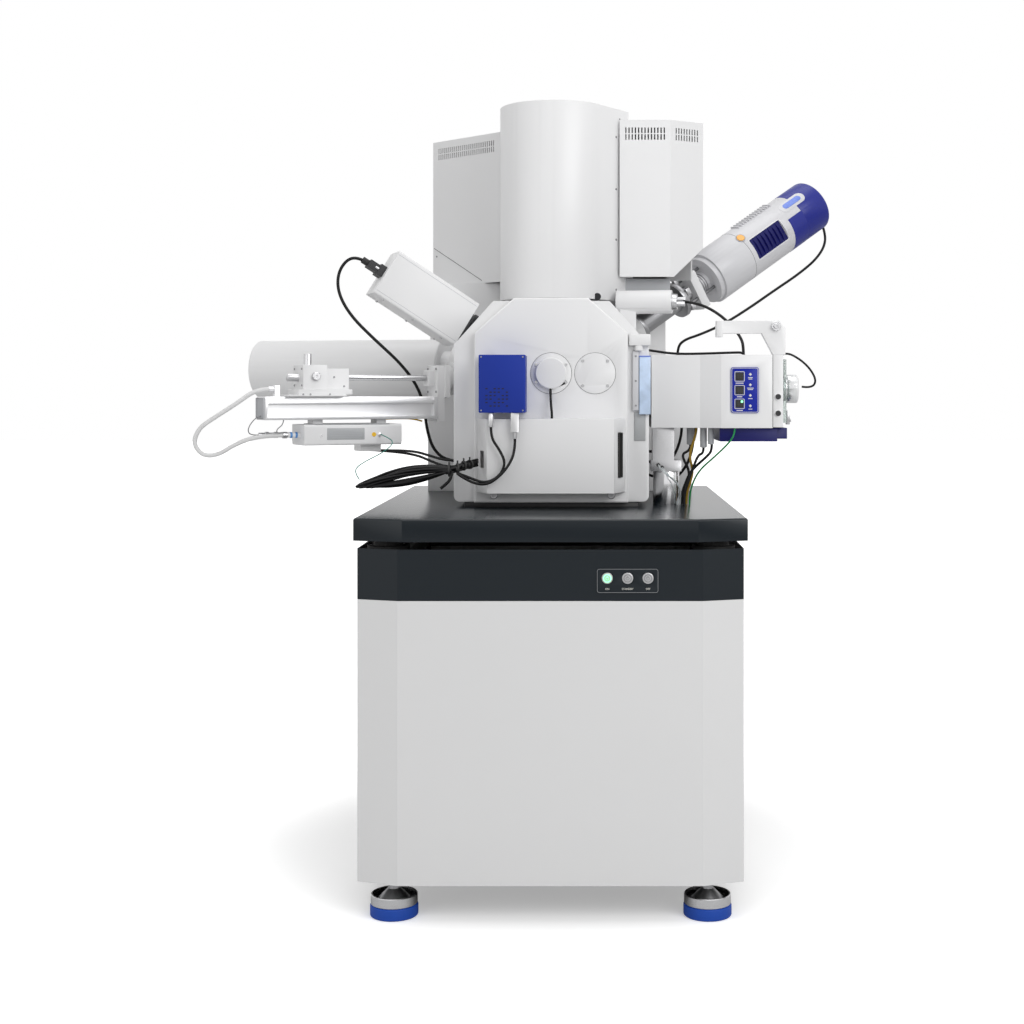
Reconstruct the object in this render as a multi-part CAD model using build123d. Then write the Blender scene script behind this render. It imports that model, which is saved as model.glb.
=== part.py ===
from build123d import *
import math
import os

# Scanning electron microscope on its plinth. Millimetres, +Z up, +Y to the back.
# While it is built, X is 0 on the table's centre line, Y is 0 on the beam axis
# and Z is 0 at FLOOR_DROP above the floor.

# Clearances
SEAT = 0.3
RUN = 0.08

# Feet
FLOOR_DROP = 11.0
FOOT_X = 328.0
FOOT_FRONT_Y = -629.0
FOOT_REAR_Y = 396.0
PAD_D = 101.0
PAD_H = 25.0
CUP_D = 98.0
CUP_WALL = 4.0
CUP_H = 21.0
STEM_D = 25.0
CONE_D = 66.0
CONE_H = 20.0

# Plinth
CABINET_W = 804.0
CABINET_BOTTOM = 65.0
PANEL_TOP = 652.0
BAND_TOP = 758.0
CABINET_FRONT = -683.0
CABINET_BACK = 430.0
CABINET_BEVEL_X = 87.0
CABINET_BEVEL_Y = 30.0
SHEET = 2.0
RETURN_D = 14.0
FRAME_TUBE = 40.0
FRAME_TOP = 700.0
ISOLATOR_D = 90.0
RACK_W = 560.0
RACK_D = 620.0
RACK_UNIT_H = 88.0
RACK_UNITS = 4
RACK_GAP = 6.0
RACK_SIDE = 8.0
RACK_SHEET = 3.0

# Power buttons in the band
BEZEL_W = 128.0
BEZEL_H = 51.0
BEZEL_X = 159.5
BEZEL_Z = 694.0
BEZEL_PROUD = 1.2
BUTTON_PITCH = 42.0
BUTTON_Z = 699.5
BUTTON_D = 23.0
BUTTON_PROUD = 2.5
BUTTON_TRAVEL = 1.5
BUTTON_HOUSING = 16.0

# Table
TABLE_W = 820.0
TABLE_BOTTOM = 774.0
TABLE_THICK = 47.0
TABLE_FRONT = -691.0
TABLE_BACK = 448.0
TABLE_BEVEL_X = 105.0
TABLE_BEVEL_Y = 33.0
TABLE_EDGE = 3.0
TABLE_TOP = TABLE_BOTTOM + TABLE_THICK

# Beam axis and the point under the lens that the detectors look at
AXIS_X = -6.0
WORK_Z = 1096.0

# Chamber
BASE_H = 12.0
CHAMBER_HALF = 222.0
CHAMBER_TOP_HALF = 132.0
CHAMBER_SHOULDER = 100.0
CHAMBER_TOP = 1290.0
CHAMBER_FRONT = -350.0
CHAMBER_BACK = 205.0
CAVITY_HALF = 162.0
CAVITY_TOP_HALF = 90.0
CAVITY_SHOULDER = 74.0
CAVITY_FLOOR = 875.0
CAVITY_TOP = 1240.0
CAVITY_BACK = 172.0
CHAMBER_BOTTOM = TABLE_TOP + BASE_H

# Door
DOOR_THICK = 25.0
DOOR_HALF = 174.0
DOOR_TOP_HALF = 84.0
DOOR_SHOULDER = 79.0
DOOR_TOP = 1295.0
DOOR_COVER_DEPTH = 60.0
DOOR_COVER_HALF = 168.0
DOOR_COVER_BEVEL = 27.0
DOOR_COVER_BOTTOM = 857.0
DOOR_COVER_TOP = 1023.0
DOOR_COVER_WALL = 3.0
GRIP_W = 20.0
GRIP_BOTTOM = 891.0
GRIP_TOP = 992.0
NOTCH_Z = 932.0
NOTCH_H = 38.0
NOTCH_W = 26.0
ROUND_Z = 1125.0
CAMERA_X = -6.0
BLANK_X = 93.5
ROUND_D = 92.0
ROUND_RECESS = 4.0
ROUND_PROUD = 1.5
PUCK_D = 70.0
PUCK_H = 13.0
BLANK_BOLT = 28.0
BLANK_HOLE_D = 4.5
CAMERA_BOLT_X = 34.0
CAMERA_BOLT_Z = 19.5
SCREW_HEAD_D = 7.5
CONTROL_X = -112.0
CONTROL_Z = 1101.0
CONTROL_W = 103.0
CONTROL_H = 128.0
CONTROL_D = 86.0
PLUG_DROPS = (32.0, 58.0)
PLUG_OFFSETS = (-25.0, 28.0)
PLUG_INSET = 13.0
GUIDE_X = 134.0
GUIDE_Z = 848.0
GUIDE_D = 18.0
GUIDE_LENGTH = 440.0
DOOR_BACK = CHAMBER_FRONT - SEAT
DOOR_FACE = DOOR_BACK - DOOR_THICK

# Stage
STAGE_Z = 1040.0
STAGE_PLATE_HALF = 150.0
STAGE_PLATE_THICK = 15.0
STAGE_BACK = 110.0
CARRIAGE_HALF = 94.0
CARRIAGE_THICK = 22.0
RAIL_W = 16.0
RAIL_H = 8.0
RAIL_OFFSET = 62.0
LIFT_POST_X = 80.0
LIFT_POST_D = 16.0
LIFT_POST_H = 92.0
LIFT_PLATE = 18.0
CHEEK_X = 56.0
CHEEK_THICK = 9.0
TILT_PIN_D = 12.0
CRADLE_HALF = 46.0
CRADLE_THICK = 9.0
CRADLE_DEPTH = 22.0
SPINDLE_D = 16.0
PLATTER_D = 78.0
PLATTER_THICK = 9.0
STUB_D = 12.7
STUB_H = 11.0
STUB_RING = 24.0
STUB_COUNT = 6

# Column and its covers
COLUMN_R = 130.0
COLUMN_BOTTOM = 1310.0
COLUMN_TOP = 1790.0
COLUMN_WALL = 3.0
COLUMN_BACK = 170.0
FLANK_X = 179.0
FLANK_Y = 41.0
COLUMN_LEFT = 137.0
COLUMN_LEFT_Y = 13.0
FLANK_ANGLE = 40.0
REAR_TOP = 1762.0
REAR_BOTTOM = 1370.0
REAR_BACK = 400.0
REAR_FRONT = 215.0
LEFT_NEAR = (-154.0, 175.0)
LEFT_FAR = (-346.0, 355.0)
RIGHT_NEAR_X = 156.0
RIGHT_NEAR_Y = -6.0
RIGHT_INNER_X = 188.0
RIGHT_FOLD_X = 283.0
RIGHT_FAR_X = 368.0
RIGHT_FAR_Y = 44.0
RIGHT_SIDE_X = 285.0
CORNER_CUT_X = 290.0
CORNER_CUT_TOP = 1446.0
REAR_WALL = 2.5
VENT_W = 3.4
VENT_H = 14.0
VENT_PITCH = 8.0
VENT_GAP = 2.5
VENT_DROP = 26.0
CHASSIS_LOW_TOP = 1180.0
CHASSIS_LOW_X = 350.0
GUN_D = 186.0
COLUMN_TUBE_D = 120.0
GUN_BOTTOM = 1500.0
GUN_TOP = 1720.0
LENS_D = 150.0
LENS_TIP_D = 24.0
LENS_TIP_Z = 1106.0
LENS_CONE_H = 84.0
BEAM_D = 8.0
TURBO_D = 150.0
TURBO_Z = 1010.0
TURBO_L = 150.0
TURBO_FLANGE_D = 180.0

# Large horizontal detector on the left
SIDE_AZIMUTH = -15.0
SIDE_Z = 1141.0
SIDE_D = 151.0
SIDE_NECK_D = 90.0
SIDE_FLANGE = 14.0
SIDE_WALL = 6.0
SIDE_START = 290.0
SIDE_END = 806.0

# Retractable probe on the left
PROBE_AZIMUTH = 27.0
PROBE_Z = 1116.0
PORT_D = 56.0
PORT_FLANGE_D = 80.0
PORT_FLANGE = 9.0
PORT_END = 295.0
PORT_PLATE = 13.0
PORT_PLATE_W = 76.0
CARRIER_PLATE = 19.0
RAIL_BOTTOM = 1019.0
RAIL_TOP = 1072.0
RAIL_DEPTH = 70.0
RAIL_END = 745.0
RAIL_END_PLATE = 9.0
RAIL_FLANGE = 8.0
HOSE_LUG = 703.0
HOSE_LIFT = 17.0
CARRIAGE_START = 541.0
CARRIAGE_END = 693.0
ROD_D = 14.0
ROD_TIP = 240.0
LOW_BLOCK_L = 55.0
TALL_BLOCK_L = 57.0
KNOB_D = 18.0
PREAMP_BOTTOM = 960.0
PREAMP_TOP = 1008.0
PREAMP_START = 423.0
PREAMP_END = 657.0
PREAMP_DEPTH = 100.0
CONNECTOR_D = 12.0

# Box detector on the left shoulder
BOX_AZIMUTH = 20.0
BOX_ELEVATION = 32.0
BOX_BOSS_END = 260.0
BOX_START = 283.0
BOX_LENGTH = 232.0
BOX_H = 119.0
BOX_DEPTH = 96.0
BOX_NECK_D = 60.0

# X-ray detector on the right, pointing to the back
XRAY_AZIMUTH = 180.0 + 32.1
XRAY_ELEVATION = 31.4
XRAY_BOSS_END = 285.0
XRAY_TUBE_D = 56.0
XRAY_FLANGE_D = 96.0
XRAY_FLANGE = 430.0
XRAY_START = 540.0
XRAY_END = 971.0
XRAY_D = 144.0
XRAY_CAP_L = 92.0
XRAY_PLUG = 20.0
XRAY_PLUG_FOOT = -46.0
XRAY_PLUG_H = 34.0
XRAY_NOSE = 300.0
XRAY_NOSE_D = 34.0
XRAY_BORE_D = 40.0
XRAY_ROD_D = 9.0
XRAY_ROD_RING = 38.0
PLATE_START = 476.0
PLATE_THICK = 24.0
PLATE_W = 84.0
PLATE_H = 104.0
LOUVRE_X = 743.0
LOUVRE_L = 118.0
LOUVRE_H = 60.0
LOUVRE_TURN = -8.0
LOUVRE_FINS = 7
LOUVRE_DEPTH = 12.0
XRAY_TRAVEL = 50.0

# Tube detector on the right shoulder
TUBE_AZIMUTH = 180.0 - 10.0
TUBE_Z = 1305.0
TUBE_D = 58.0
TUBE_START = 158.0
TUBE_END = 296.0

# Sample airlock on the right
LOCK_START = 224.0
LOCK_FOLD = 336.0
LOCK_PROUD_X = 382.0
LOCK_END = 500.0
LOCK_FRONT = -300.0
LOCK_PROUD = 30.0
LOCK_BACK = -70.0
LOCK_BOTTOM = 1000.0
LOCK_TOP = 1168.0
LOCK_WALL = 4.0
SLOT_Y = -150.0
SLOT_W = 110.0
SLOT_BOTTOM = 1045.0
SLOT_TOP = 1105.0
END_BLOCK = 24.0
ARM_LEFT = 372.0
ARM_RIGHT = 530.0
ARM_RISE = 49.0
ARM_BAR_H = 29.0
ARM_PAD_DEPTH = 42.0
ARM_LEG = 54.0
ARM_THICK = 26.0
PANEL_X = 436.0
PANEL_Z = 1087.0
PANEL_W = 64.0
PANEL_H = 105.0
PANEL_THICK = 3.0
KEY_X = 424.0
KEY_SIZE = 17.4
KEY_PITCH = 31.2
KEY_PROUD = 2.2
KEY_TRAVEL = 1.4
KEY_DEPTH = 10.0
LOCK_CAMERA_D = 66.0
LOCK_CAMERA_Z = 1090.0
LOCK_CAMERA_Y = -250.0
DRIVE_LEFT = 380.0
DRIVE_RIGHT = 536.0
DRIVE_BOTTOM = 969.0
STAND_X = 260.0
STAND_Y = -250.0
STAND_D = 61.0
STAND_H = 78.0
STAND_BRACKET_H = 25.0
STAND_POST = 50.0

# Cords
LEAD_D = 18.0
KNOT = (-214.0, -464.0, 913.0)
CABLE_D = 7.5
THIN_CABLE_D = 6.0
HOSE_D = 10.6
XRAY_CABLE_D = 7.0

parts = {}


def block(x0, x1, y0, y1, z0, z1):
    """Box between two opposite corners."""
    box = Box(x1 - x0, y1 - y0, z1 - z0)
    return Pos((x0 + x1) / 2, (y0 + y1) / 2, (z0 + z1) / 2) * box


def upright(points, z0, z1):
    """Prism with a plan outline, from z0 up to z1."""
    outline = make_face(Polyline(*points, close=True))
    return Pos(0, 0, z0) * extrude(outline, z1 - z0)


def fore_and_aft(points, y0, y1):
    """Prism with an outline in X and Z, from y0 back to y1."""
    plane = Plane(origin=(0, y1, 0), x_dir=(1, 0, 0), z_dir=(0, -1, 0))
    outline = plane * make_face(Polyline(*points, close=True))
    return extrude(outline, amount=y1 - y0)


def pillar(x, y, z0, z1, d):
    """Upright cylinder."""
    return Pos(x, y, (z0 + z1) / 2) * Cylinder(d / 2, z1 - z0)


def bar_y(x, z, y0, y1, d):
    """Cylinder that runs fore and aft."""
    return Pos(x, (y0 + y1) / 2, z) * Rot(90, 0, 0) * Cylinder(d / 2, y1 - y0)


def bar_x(y, z, x0, x1, d):
    """Cylinder that runs from left to right."""
    return Pos((x0 + x1) / 2, y, z) * Rot(0, 90, 0) * Cylinder(d / 2, x1 - x0)


def aim(azimuth, elevation, z):
    """Frame on the beam axis: x runs out along a port, y across it and z up and square to it.

    The azimuth is counted from the left side towards the front.
    """
    a = math.radians(azimuth)
    e = math.radians(elevation)
    out = Vector(-math.cos(e) * math.cos(a), -math.cos(e) * math.sin(a), math.sin(e))
    up = Vector(math.sin(e) * math.cos(a), math.sin(e) * math.sin(a), math.cos(e))
    return Plane(origin=(AXIS_X, 0, z), x_dir=out, z_dir=up)


def along(frame, r0, r1, d):
    """Cylinder on a port's axis between two distances from the beam axis."""
    return frame.location * bar_x(0, 0, r0, r1, d)


def in_frame(frame, shape):
    """A shape drawn in a port's frame, put in its place."""
    return frame.location * shape


def shell_up(points, z0, z1, wall):
    """Cover with a plan outline, open below, with a roof of the same sheet."""
    outline = make_face(Polyline(*points, close=True))
    inner = offset(outline, -wall, kind=Kind.INTERSECTION)
    body = Pos(0, 0, z0) * extrude(outline, z1 - z0)
    return body - Pos(0, 0, z0 - 1) * extrude(inner, z1 - z0 - wall + 1)


def wall_reach(azimuth, flange_d):
    """Distance at which a level port's flange just clears the chamber's side wall."""
    a = math.radians(azimuth)
    return (CHAMBER_HALF + 2 + abs(math.sin(a)) * flange_d / 2) / math.cos(a)


side_port = aim(SIDE_AZIMUTH, 0, SIDE_Z)
probe_port = aim(PROBE_AZIMUTH, 0, PROBE_Z)
box_port = aim(BOX_AZIMUTH, BOX_ELEVATION, WORK_Z)
xray_port = aim(XRAY_AZIMUTH, XRAY_ELEVATION, WORK_Z)
tube_port = aim(TUBE_AZIMUTH, 0, TUBE_Z)
side_flange_d = SIDE_NECK_D + 26
side_flange = wall_reach(SIDE_AZIMUTH, side_flange_d)
probe_flange = wall_reach(PROBE_AZIMUTH, PORT_FLANGE_D)
foot_places = [(x, y) for x in (-FOOT_X, FOOT_X) for y in (FOOT_FRONT_Y, FOOT_REAR_Y)]


# Feet: a rubber pad, a metal cup on it, and the levelling stem that stands in the cup.
def make_pad(x, y):
    pad = pillar(x, y, -FLOOR_DROP, PAD_H - FLOOR_DROP, PAD_D)
    return fillet(pad.edges().filter_by(GeomType.CIRCLE), 4)


def make_cup(x, y):
    z0 = PAD_H - FLOOR_DROP
    bowl = pillar(x, y, z0, z0 + CUP_H, CUP_D)
    bowl = chamfer(bowl.edges().filter_by(GeomType.CIRCLE), 1.5)
    return bowl - pillar(x, y, z0 + CUP_WALL, z0 + CUP_H + 1, CUP_D - 2 * CUP_WALL)


def make_stem(x, y):
    z0 = PAD_H + CUP_WALL - FLOOR_DROP
    z1 = z0 + CONE_H
    profile = Polyline(
        (0, z0), (CONE_D / 2 + 4, z0), (CONE_D / 2 + 4, z0 + 8), (CONE_D / 2, z0 + 8),
        (STEM_D / 2, z1 + 8), (STEM_D / 2, CABINET_BOTTOM), (0, CABINET_BOTTOM), close=True,
    )
    section = make_face(Plane.XZ * profile)
    return Pos(x, y, 0) * revolve(section, Axis.Z)


parts["foot_pads"] = [make_pad(x, y) for x, y in foot_places]
parts["foot_cups"] = [make_cup(x, y) for x, y in foot_places]
parts["foot_stems"] = [make_stem(x, y) for x, y in foot_places]

# Plinth frame: two rings of square tube joined by four posts
half = CABINET_W / 2 - SHEET - SEAT
frame_front = CABINET_FRONT + CABINET_BEVEL_Y + 4
frame_back = CABINET_BACK - SHEET - SEAT


def ring(z0, z1):
    outer = block(-half, half, frame_front, frame_back, z0, z1)
    t = FRAME_TUBE
    return outer - block(-half + t, half - t, frame_front + t, frame_back - t, z0 - 1, z1 + 1)


frame = ring(CABINET_BOTTOM, CABINET_BOTTOM + FRAME_TUBE) + ring(FRAME_TOP - FRAME_TUBE, FRAME_TOP)
for x in (-half, half - FRAME_TUBE):
    for y in (frame_front, frame_back - FRAME_TUBE):
        frame += block(x, x + FRAME_TUBE, y, y + FRAME_TUBE, CABINET_BOTTOM, FRAME_TOP)
parts["plinth_frame"] = [frame]


def front_outline(w, front, bevel_x, bevel_y, back):
    """Plan outline with two bevelled front corners."""
    h = w / 2
    return [(-h, back), (-h, front + bevel_y), (-h + bevel_x, front), (h - bevel_x, front),
            (h, front + bevel_y), (h, back)]


def folded_front(z0, z1, back):
    """Sheet folded round the bevelled front of the plinth."""
    outer = front_outline(CABINET_W, CABINET_FRONT, CABINET_BEVEL_X, CABINET_BEVEL_Y, back)
    inner = front_outline(
        CABINET_W - 2 * SHEET, CABINET_FRONT + SHEET, CABINET_BEVEL_X - SHEET / 3,
        CABINET_BEVEL_Y - SHEET / 3, back + 1,
    )
    return upright(outer, z0, z1) - upright(inner, z0 - 1, z1 + 1)


panel_split = CABINET_FRONT + CABINET_BEVEL_Y + RETURN_D
parts["front_panel"] = [folded_front(CABINET_BOTTOM, PANEL_TOP, panel_split)]
side = block(
    CABINET_W / 2 - SHEET, CABINET_W / 2, panel_split + SEAT, CABINET_BACK - SHEET - SEAT,
    CABINET_BOTTOM, PANEL_TOP,
)
rear = block(
    -CABINET_W / 2, CABINET_W / 2, CABINET_BACK - SHEET, CABINET_BACK, CABINET_BOTTOM, BAND_TOP,
)
for i in range(14):
    slot_z = 560.0 - i * 12.0
    rear -= block(-150, 150, CABINET_BACK - 5, CABINET_BACK + 5, slot_z, slot_z + 5)
parts["cabinet_panels"] = [side, mirror(side, Plane.YZ), rear]

band = folded_front(PANEL_TOP + SEAT, BAND_TOP, CABINET_BACK - SHEET - SEAT)
button_x = [BEZEL_X + (i - 1) * BUTTON_PITCH for i in range(3)]
band_hole = block(
    BEZEL_X - BEZEL_W / 2 + 4, BEZEL_X + BEZEL_W / 2 - 4, CABINET_FRONT - 5, CABINET_FRONT + 8,
    BEZEL_Z - BEZEL_H / 2 + 4, BEZEL_Z + BEZEL_H / 2 - 4,
)
parts["control_band"] = [band - band_hole]

bezel_plate = block(
    BEZEL_X - BEZEL_W / 2, BEZEL_X + BEZEL_W / 2, CABINET_FRONT - BEZEL_PROUD - SEAT,
    CABINET_FRONT - SEAT, BEZEL_Z - BEZEL_H / 2, BEZEL_Z + BEZEL_H / 2,
)
bezel_plate = fillet(bezel_plate.edges().filter_by(Axis.Y), 5)
bezel_back = block(
    BEZEL_X - BEZEL_W / 2 + 4 + SEAT, BEZEL_X + BEZEL_W / 2 - 4 - SEAT, CABINET_FRONT - SEAT,
    CABINET_FRONT + BUTTON_HOUSING, BEZEL_Z - BEZEL_H / 2 + 4 + SEAT, BEZEL_Z + BEZEL_H / 2 - 4 - SEAT,
)
bezel = bezel_plate + bezel_back
bezel_face = CABINET_FRONT - SEAT - BEZEL_PROUD
button_back = CABINET_FRONT + BUTTON_HOUSING - 6
for x in button_x:
    bezel -= bar_y(x, BUTTON_Z, bezel_face - 1, button_back + BUTTON_TRAVEL + SEAT, BUTTON_D + 2 * SEAT)
parts["button_bezel"] = [bezel]
for name, x in zip(("on_button", "standby_button", "off_button"), button_x):
    cap = bar_y(x, BUTTON_Z, bezel_face - BUTTON_PROUD, button_back, BUTTON_D)
    front_edge = cap.edges().filter_by(GeomType.CIRCLE).sort_by(Axis.Y)[0]
    parts[name] = [chamfer(front_edge, 0.8)]

# Table slab, on four air isolators that stand on the frame
table = upright(
    front_outline(TABLE_W, TABLE_FRONT, TABLE_BEVEL_X, TABLE_BEVEL_Y, TABLE_BACK), TABLE_BOTTOM, TABLE_TOP,
)
table = chamfer(table.edges().group_by(Axis.Z)[-1], TABLE_EDGE)
parts["table_top"] = [table]
isolator_x = half - FRAME_TUBE / 2 - 8
isolators = []
for x in (-isolator_x + 28, isolator_x - 28):
    for y in (frame_front + 52, frame_back - 52):
        can = pillar(x, y, FRAME_TOP, TABLE_BOTTOM - 14, ISOLATOR_D)
        can += pillar(x, y, TABLE_BOTTOM - 14, TABLE_BOTTOM, ISOLATOR_D - 26)
        isolators.append(can)
parts["isolators"] = isolators

# Electronics rack that stands on the lower ring
rack_z = CABINET_BOTTOM + FRAME_TUBE
rack_h = RACK_UNITS * (RACK_UNIT_H + RACK_GAP) + RACK_SIDE
rack_y = (FOOT_FRONT_Y + FOOT_REAR_Y) / 2
rack = []
rail_box = block(
    -half + FRAME_TUBE - 10, half - FRAME_TUBE + 10, rack_y - RACK_D / 2, rack_y + RACK_D / 2,
    rack_z, rack_z + RACK_SIDE,
)
for x in (-RACK_W / 2 - RACK_SIDE, RACK_W / 2):
    rail_box += block(x, x + RACK_SIDE, rack_y - RACK_D / 2, rack_y + RACK_D / 2, rack_z, rack_z + rack_h)
rack.append(rail_box)
for i in range(RACK_UNITS):
    z0 = rack_z + RACK_SIDE + i * (RACK_UNIT_H + RACK_GAP) + (RACK_GAP if i else 0)
    unit = block(
        -RACK_W / 2 + SEAT, RACK_W / 2 - SEAT, rack_y - RACK_D / 2 - 10, rack_y + RACK_D / 2,
        z0, z0 + RACK_UNIT_H,
    )
    unit -= block(
        -RACK_W / 2 + RACK_SHEET, RACK_W / 2 - RACK_SHEET, rack_y - RACK_D / 2 - 4,
        rack_y + RACK_D / 2 - RACK_SHEET, z0 + RACK_SHEET, z0 + RACK_UNIT_H - RACK_SHEET,
    )
    rack.append(unit)
parts["electronics_rack"] = rack


# Chamber: a thick-walled box with shoulders, open in front, with one bored boss for each port
def shouldered(half_w, top_half, shoulder, z0, z1):
    return [(AXIS_X - half_w, z0), (AXIS_X + half_w, z0), (AXIS_X + half_w, z1 - shoulder),
            (AXIS_X + top_half, z1), (AXIS_X - top_half, z1), (AXIS_X - half_w, z1 - shoulder)]


chamber = fore_and_aft(
    shouldered(CHAMBER_HALF, CHAMBER_TOP_HALF, CHAMBER_SHOULDER, CHAMBER_BOTTOM, CHAMBER_TOP),
    CHAMBER_FRONT, CHAMBER_BACK,
)
lower_edges = chamber.edges().filter_by(Axis.Y).group_by(Axis.Z)[0]
chamber = fillet(lower_edges, 14)
bosses = [
    (side_port, side_flange, side_flange_d, SIDE_NECK_D - 20),
    (probe_port, probe_flange, PORT_FLANGE_D, ROD_D + 14),
    (box_port, BOX_BOSS_END, BOX_NECK_D + 26, BOX_NECK_D - 20),
    (xray_port, XRAY_BOSS_END, XRAY_TUBE_D + 26, XRAY_TUBE_D - 14),
]
for port, end, boss_d, bore_d in bosses:
    chamber += along(port, 150.0, end, boss_d)
chamber -= fore_and_aft(
    shouldered(CAVITY_HALF, CAVITY_TOP_HALF, CAVITY_SHOULDER, CAVITY_FLOOR, CAVITY_TOP),
    CHAMBER_FRONT - 1, CAVITY_BACK,
)
for port, end, boss_d, bore_d in bosses:
    chamber -= along(port, 100.0, end + 5, bore_d)
lens_seat_d = LENS_D + 2 * SEAT
chamber -= pillar(AXIS_X, 0, CAVITY_TOP - 1, CHAMBER_TOP + 1, lens_seat_d)
chamber -= block(
    AXIS_X + CAVITY_HALF - 5, AXIS_X + CHAMBER_HALF + 5, SLOT_Y - SLOT_W / 2, SLOT_Y + SLOT_W / 2,
    SLOT_BOTTOM, SLOT_TOP,
)
for x in (-GUIDE_X, GUIDE_X):
    chamber -= bar_y(AXIS_X + x, GUIDE_Z, CHAMBER_FRONT - 1, DOOR_BACK + GUIDE_LENGTH + 5, GUIDE_D + 2 * RUN)
chamber -= bar_y(AXIS_X, TURBO_Z, CAVITY_BACK - 1, CHAMBER_BACK + 1, TURBO_D - 40)
parts["chamber_body"] = [chamber]
parts["chamber_base"] = [block(
    AXIS_X - CHAMBER_HALF + 24, AXIS_X + CHAMBER_HALF - 24, CHAMBER_FRONT + 4, CHAMBER_BACK - 12,
    TABLE_TOP, CHAMBER_BOTTOM,
)]

# Door plate with round seats, and what is fixed to it
door = fore_and_aft(
    shouldered(DOOR_HALF, DOOR_TOP_HALF, DOOR_SHOULDER, CHAMBER_BOTTOM, DOOR_TOP), DOOR_FACE, DOOR_BACK,
)
door = chamfer(door.faces().sort_by(Axis.Y)[0].edges(), 2.5)
for x in (CAMERA_X, BLANK_X):
    door -= bar_y(x, ROUND_Z, DOOR_FACE - 1, DOOR_FACE + ROUND_RECESS, ROUND_D + 2 * SEAT)
door -= bar_y(CAMERA_X, ROUND_Z, DOOR_FACE - 1, DOOR_BACK + 1, PUCK_D - 20)
for x in (-BLANK_BOLT, BLANK_BOLT):
    for z in (-BLANK_BOLT, BLANK_BOLT):
        door -= bar_y(BLANK_X + x, ROUND_Z + z, DOOR_FACE - 1, DOOR_FACE + 14, BLANK_HOLE_D - 0.9)
parts["door_plate"] = [door]

round_back = DOOR_FACE + ROUND_RECESS - SEAT
round_front = DOOR_FACE - ROUND_PROUD
camera = bar_y(CAMERA_X, ROUND_Z, round_front, round_back, ROUND_D)
camera += bar_y(CAMERA_X, ROUND_Z, round_front - PUCK_H, round_front, PUCK_D)
puck_edge = camera.edges().filter_by(GeomType.CIRCLE).sort_by(Axis.Y)[0]
camera = fillet(puck_edge, 2.5)
for x in (-CAMERA_BOLT_X, CAMERA_BOLT_X):
    for z in (-CAMERA_BOLT_Z, CAMERA_BOLT_Z):
        camera += bar_y(CAMERA_X + x, ROUND_Z + z, round_front - 1.5, round_front, SCREW_HEAD_D)
camera += bar_y(CAMERA_X, ROUND_Z, round_back, DOOR_BACK, PUCK_D - 20 - 2 * SEAT)
parts["door_camera"] = [camera]
blank = bar_y(BLANK_X, ROUND_Z, round_front, round_back, ROUND_D)
for x in (-BLANK_BOLT, BLANK_BOLT):
    for z in (-BLANK_BOLT, BLANK_BOLT):
        blank -= bar_y(BLANK_X + x, ROUND_Z + z, round_front - 1, round_back + 1, BLANK_HOLE_D)
parts["blank_flange"] = [blank]

cover_front = DOOR_FACE - SEAT - DOOR_COVER_DEPTH
cover_outline = front_outline(
    2 * DOOR_COVER_HALF, cover_front, DOOR_COVER_BEVEL, DOOR_COVER_DEPTH, DOOR_FACE - SEAT,
)
cover_outline = [(AXIS_X + x, y) for x, y in cover_outline[1:5]]
t = DOOR_COVER_WALL
cover_inner = [
    (AXIS_X - DOOR_COVER_HALF + t * 1.2, DOOR_FACE),
    (AXIS_X - DOOR_COVER_HALF + DOOR_COVER_BEVEL + t, cover_front + t),
    (AXIS_X + DOOR_COVER_HALF - DOOR_COVER_BEVEL - t, cover_front + t),
    (AXIS_X + DOOR_COVER_HALF - t * 1.2, DOOR_FACE),
]
cover = upright(cover_outline, DOOR_COVER_BOTTOM, DOOR_COVER_TOP)
cover -= upright(cover_inner, DOOR_COVER_BOTTOM + t, DOOR_COVER_TOP - t)
bevel_turn = math.degrees(math.atan2(DOOR_COVER_DEPTH, DOOR_COVER_BEVEL))
bevel_mid_y = (cover_front + DOOR_FACE - SEAT) / 2
grip_cut = (1, GRIP_BOTTOM, GRIP_TOP, GRIP_W)
notch_cut = (-1, NOTCH_Z - NOTCH_H / 2, NOTCH_Z + NOTCH_H / 2, NOTCH_W)
for sign, z0, z1, w in (grip_cut, notch_cut):
    mid_x = AXIS_X + sign * (DOOR_COVER_HALF - DOOR_COVER_BEVEL / 2)
    window = Box(w, 24, z1 - z0)
    cover -= Pos(mid_x, bevel_mid_y, (z0 + z1) / 2) * Rot(0, 0, sign * bevel_turn) * window
cup_x = AXIS_X + DOOR_COVER_HALF - DOOR_COVER_BEVEL / 2
cup_frame = Pos(cup_x, bevel_mid_y, (GRIP_BOTTOM + GRIP_TOP) / 2) * Rot(0, 0, bevel_turn)
grip_h = GRIP_TOP - GRIP_BOTTOM
cup = cup_frame * Pos(0, 9, 0) * Box(GRIP_W - 2 * SEAT, 26, grip_h - 2 * SEAT)
cup -= cup_frame * Pos(0, 6, 0) * Box(GRIP_W - 5, 26, grip_h - 5)
parts["door_cover"] = [cover]
parts["door_grip"] = [cup]

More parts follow.
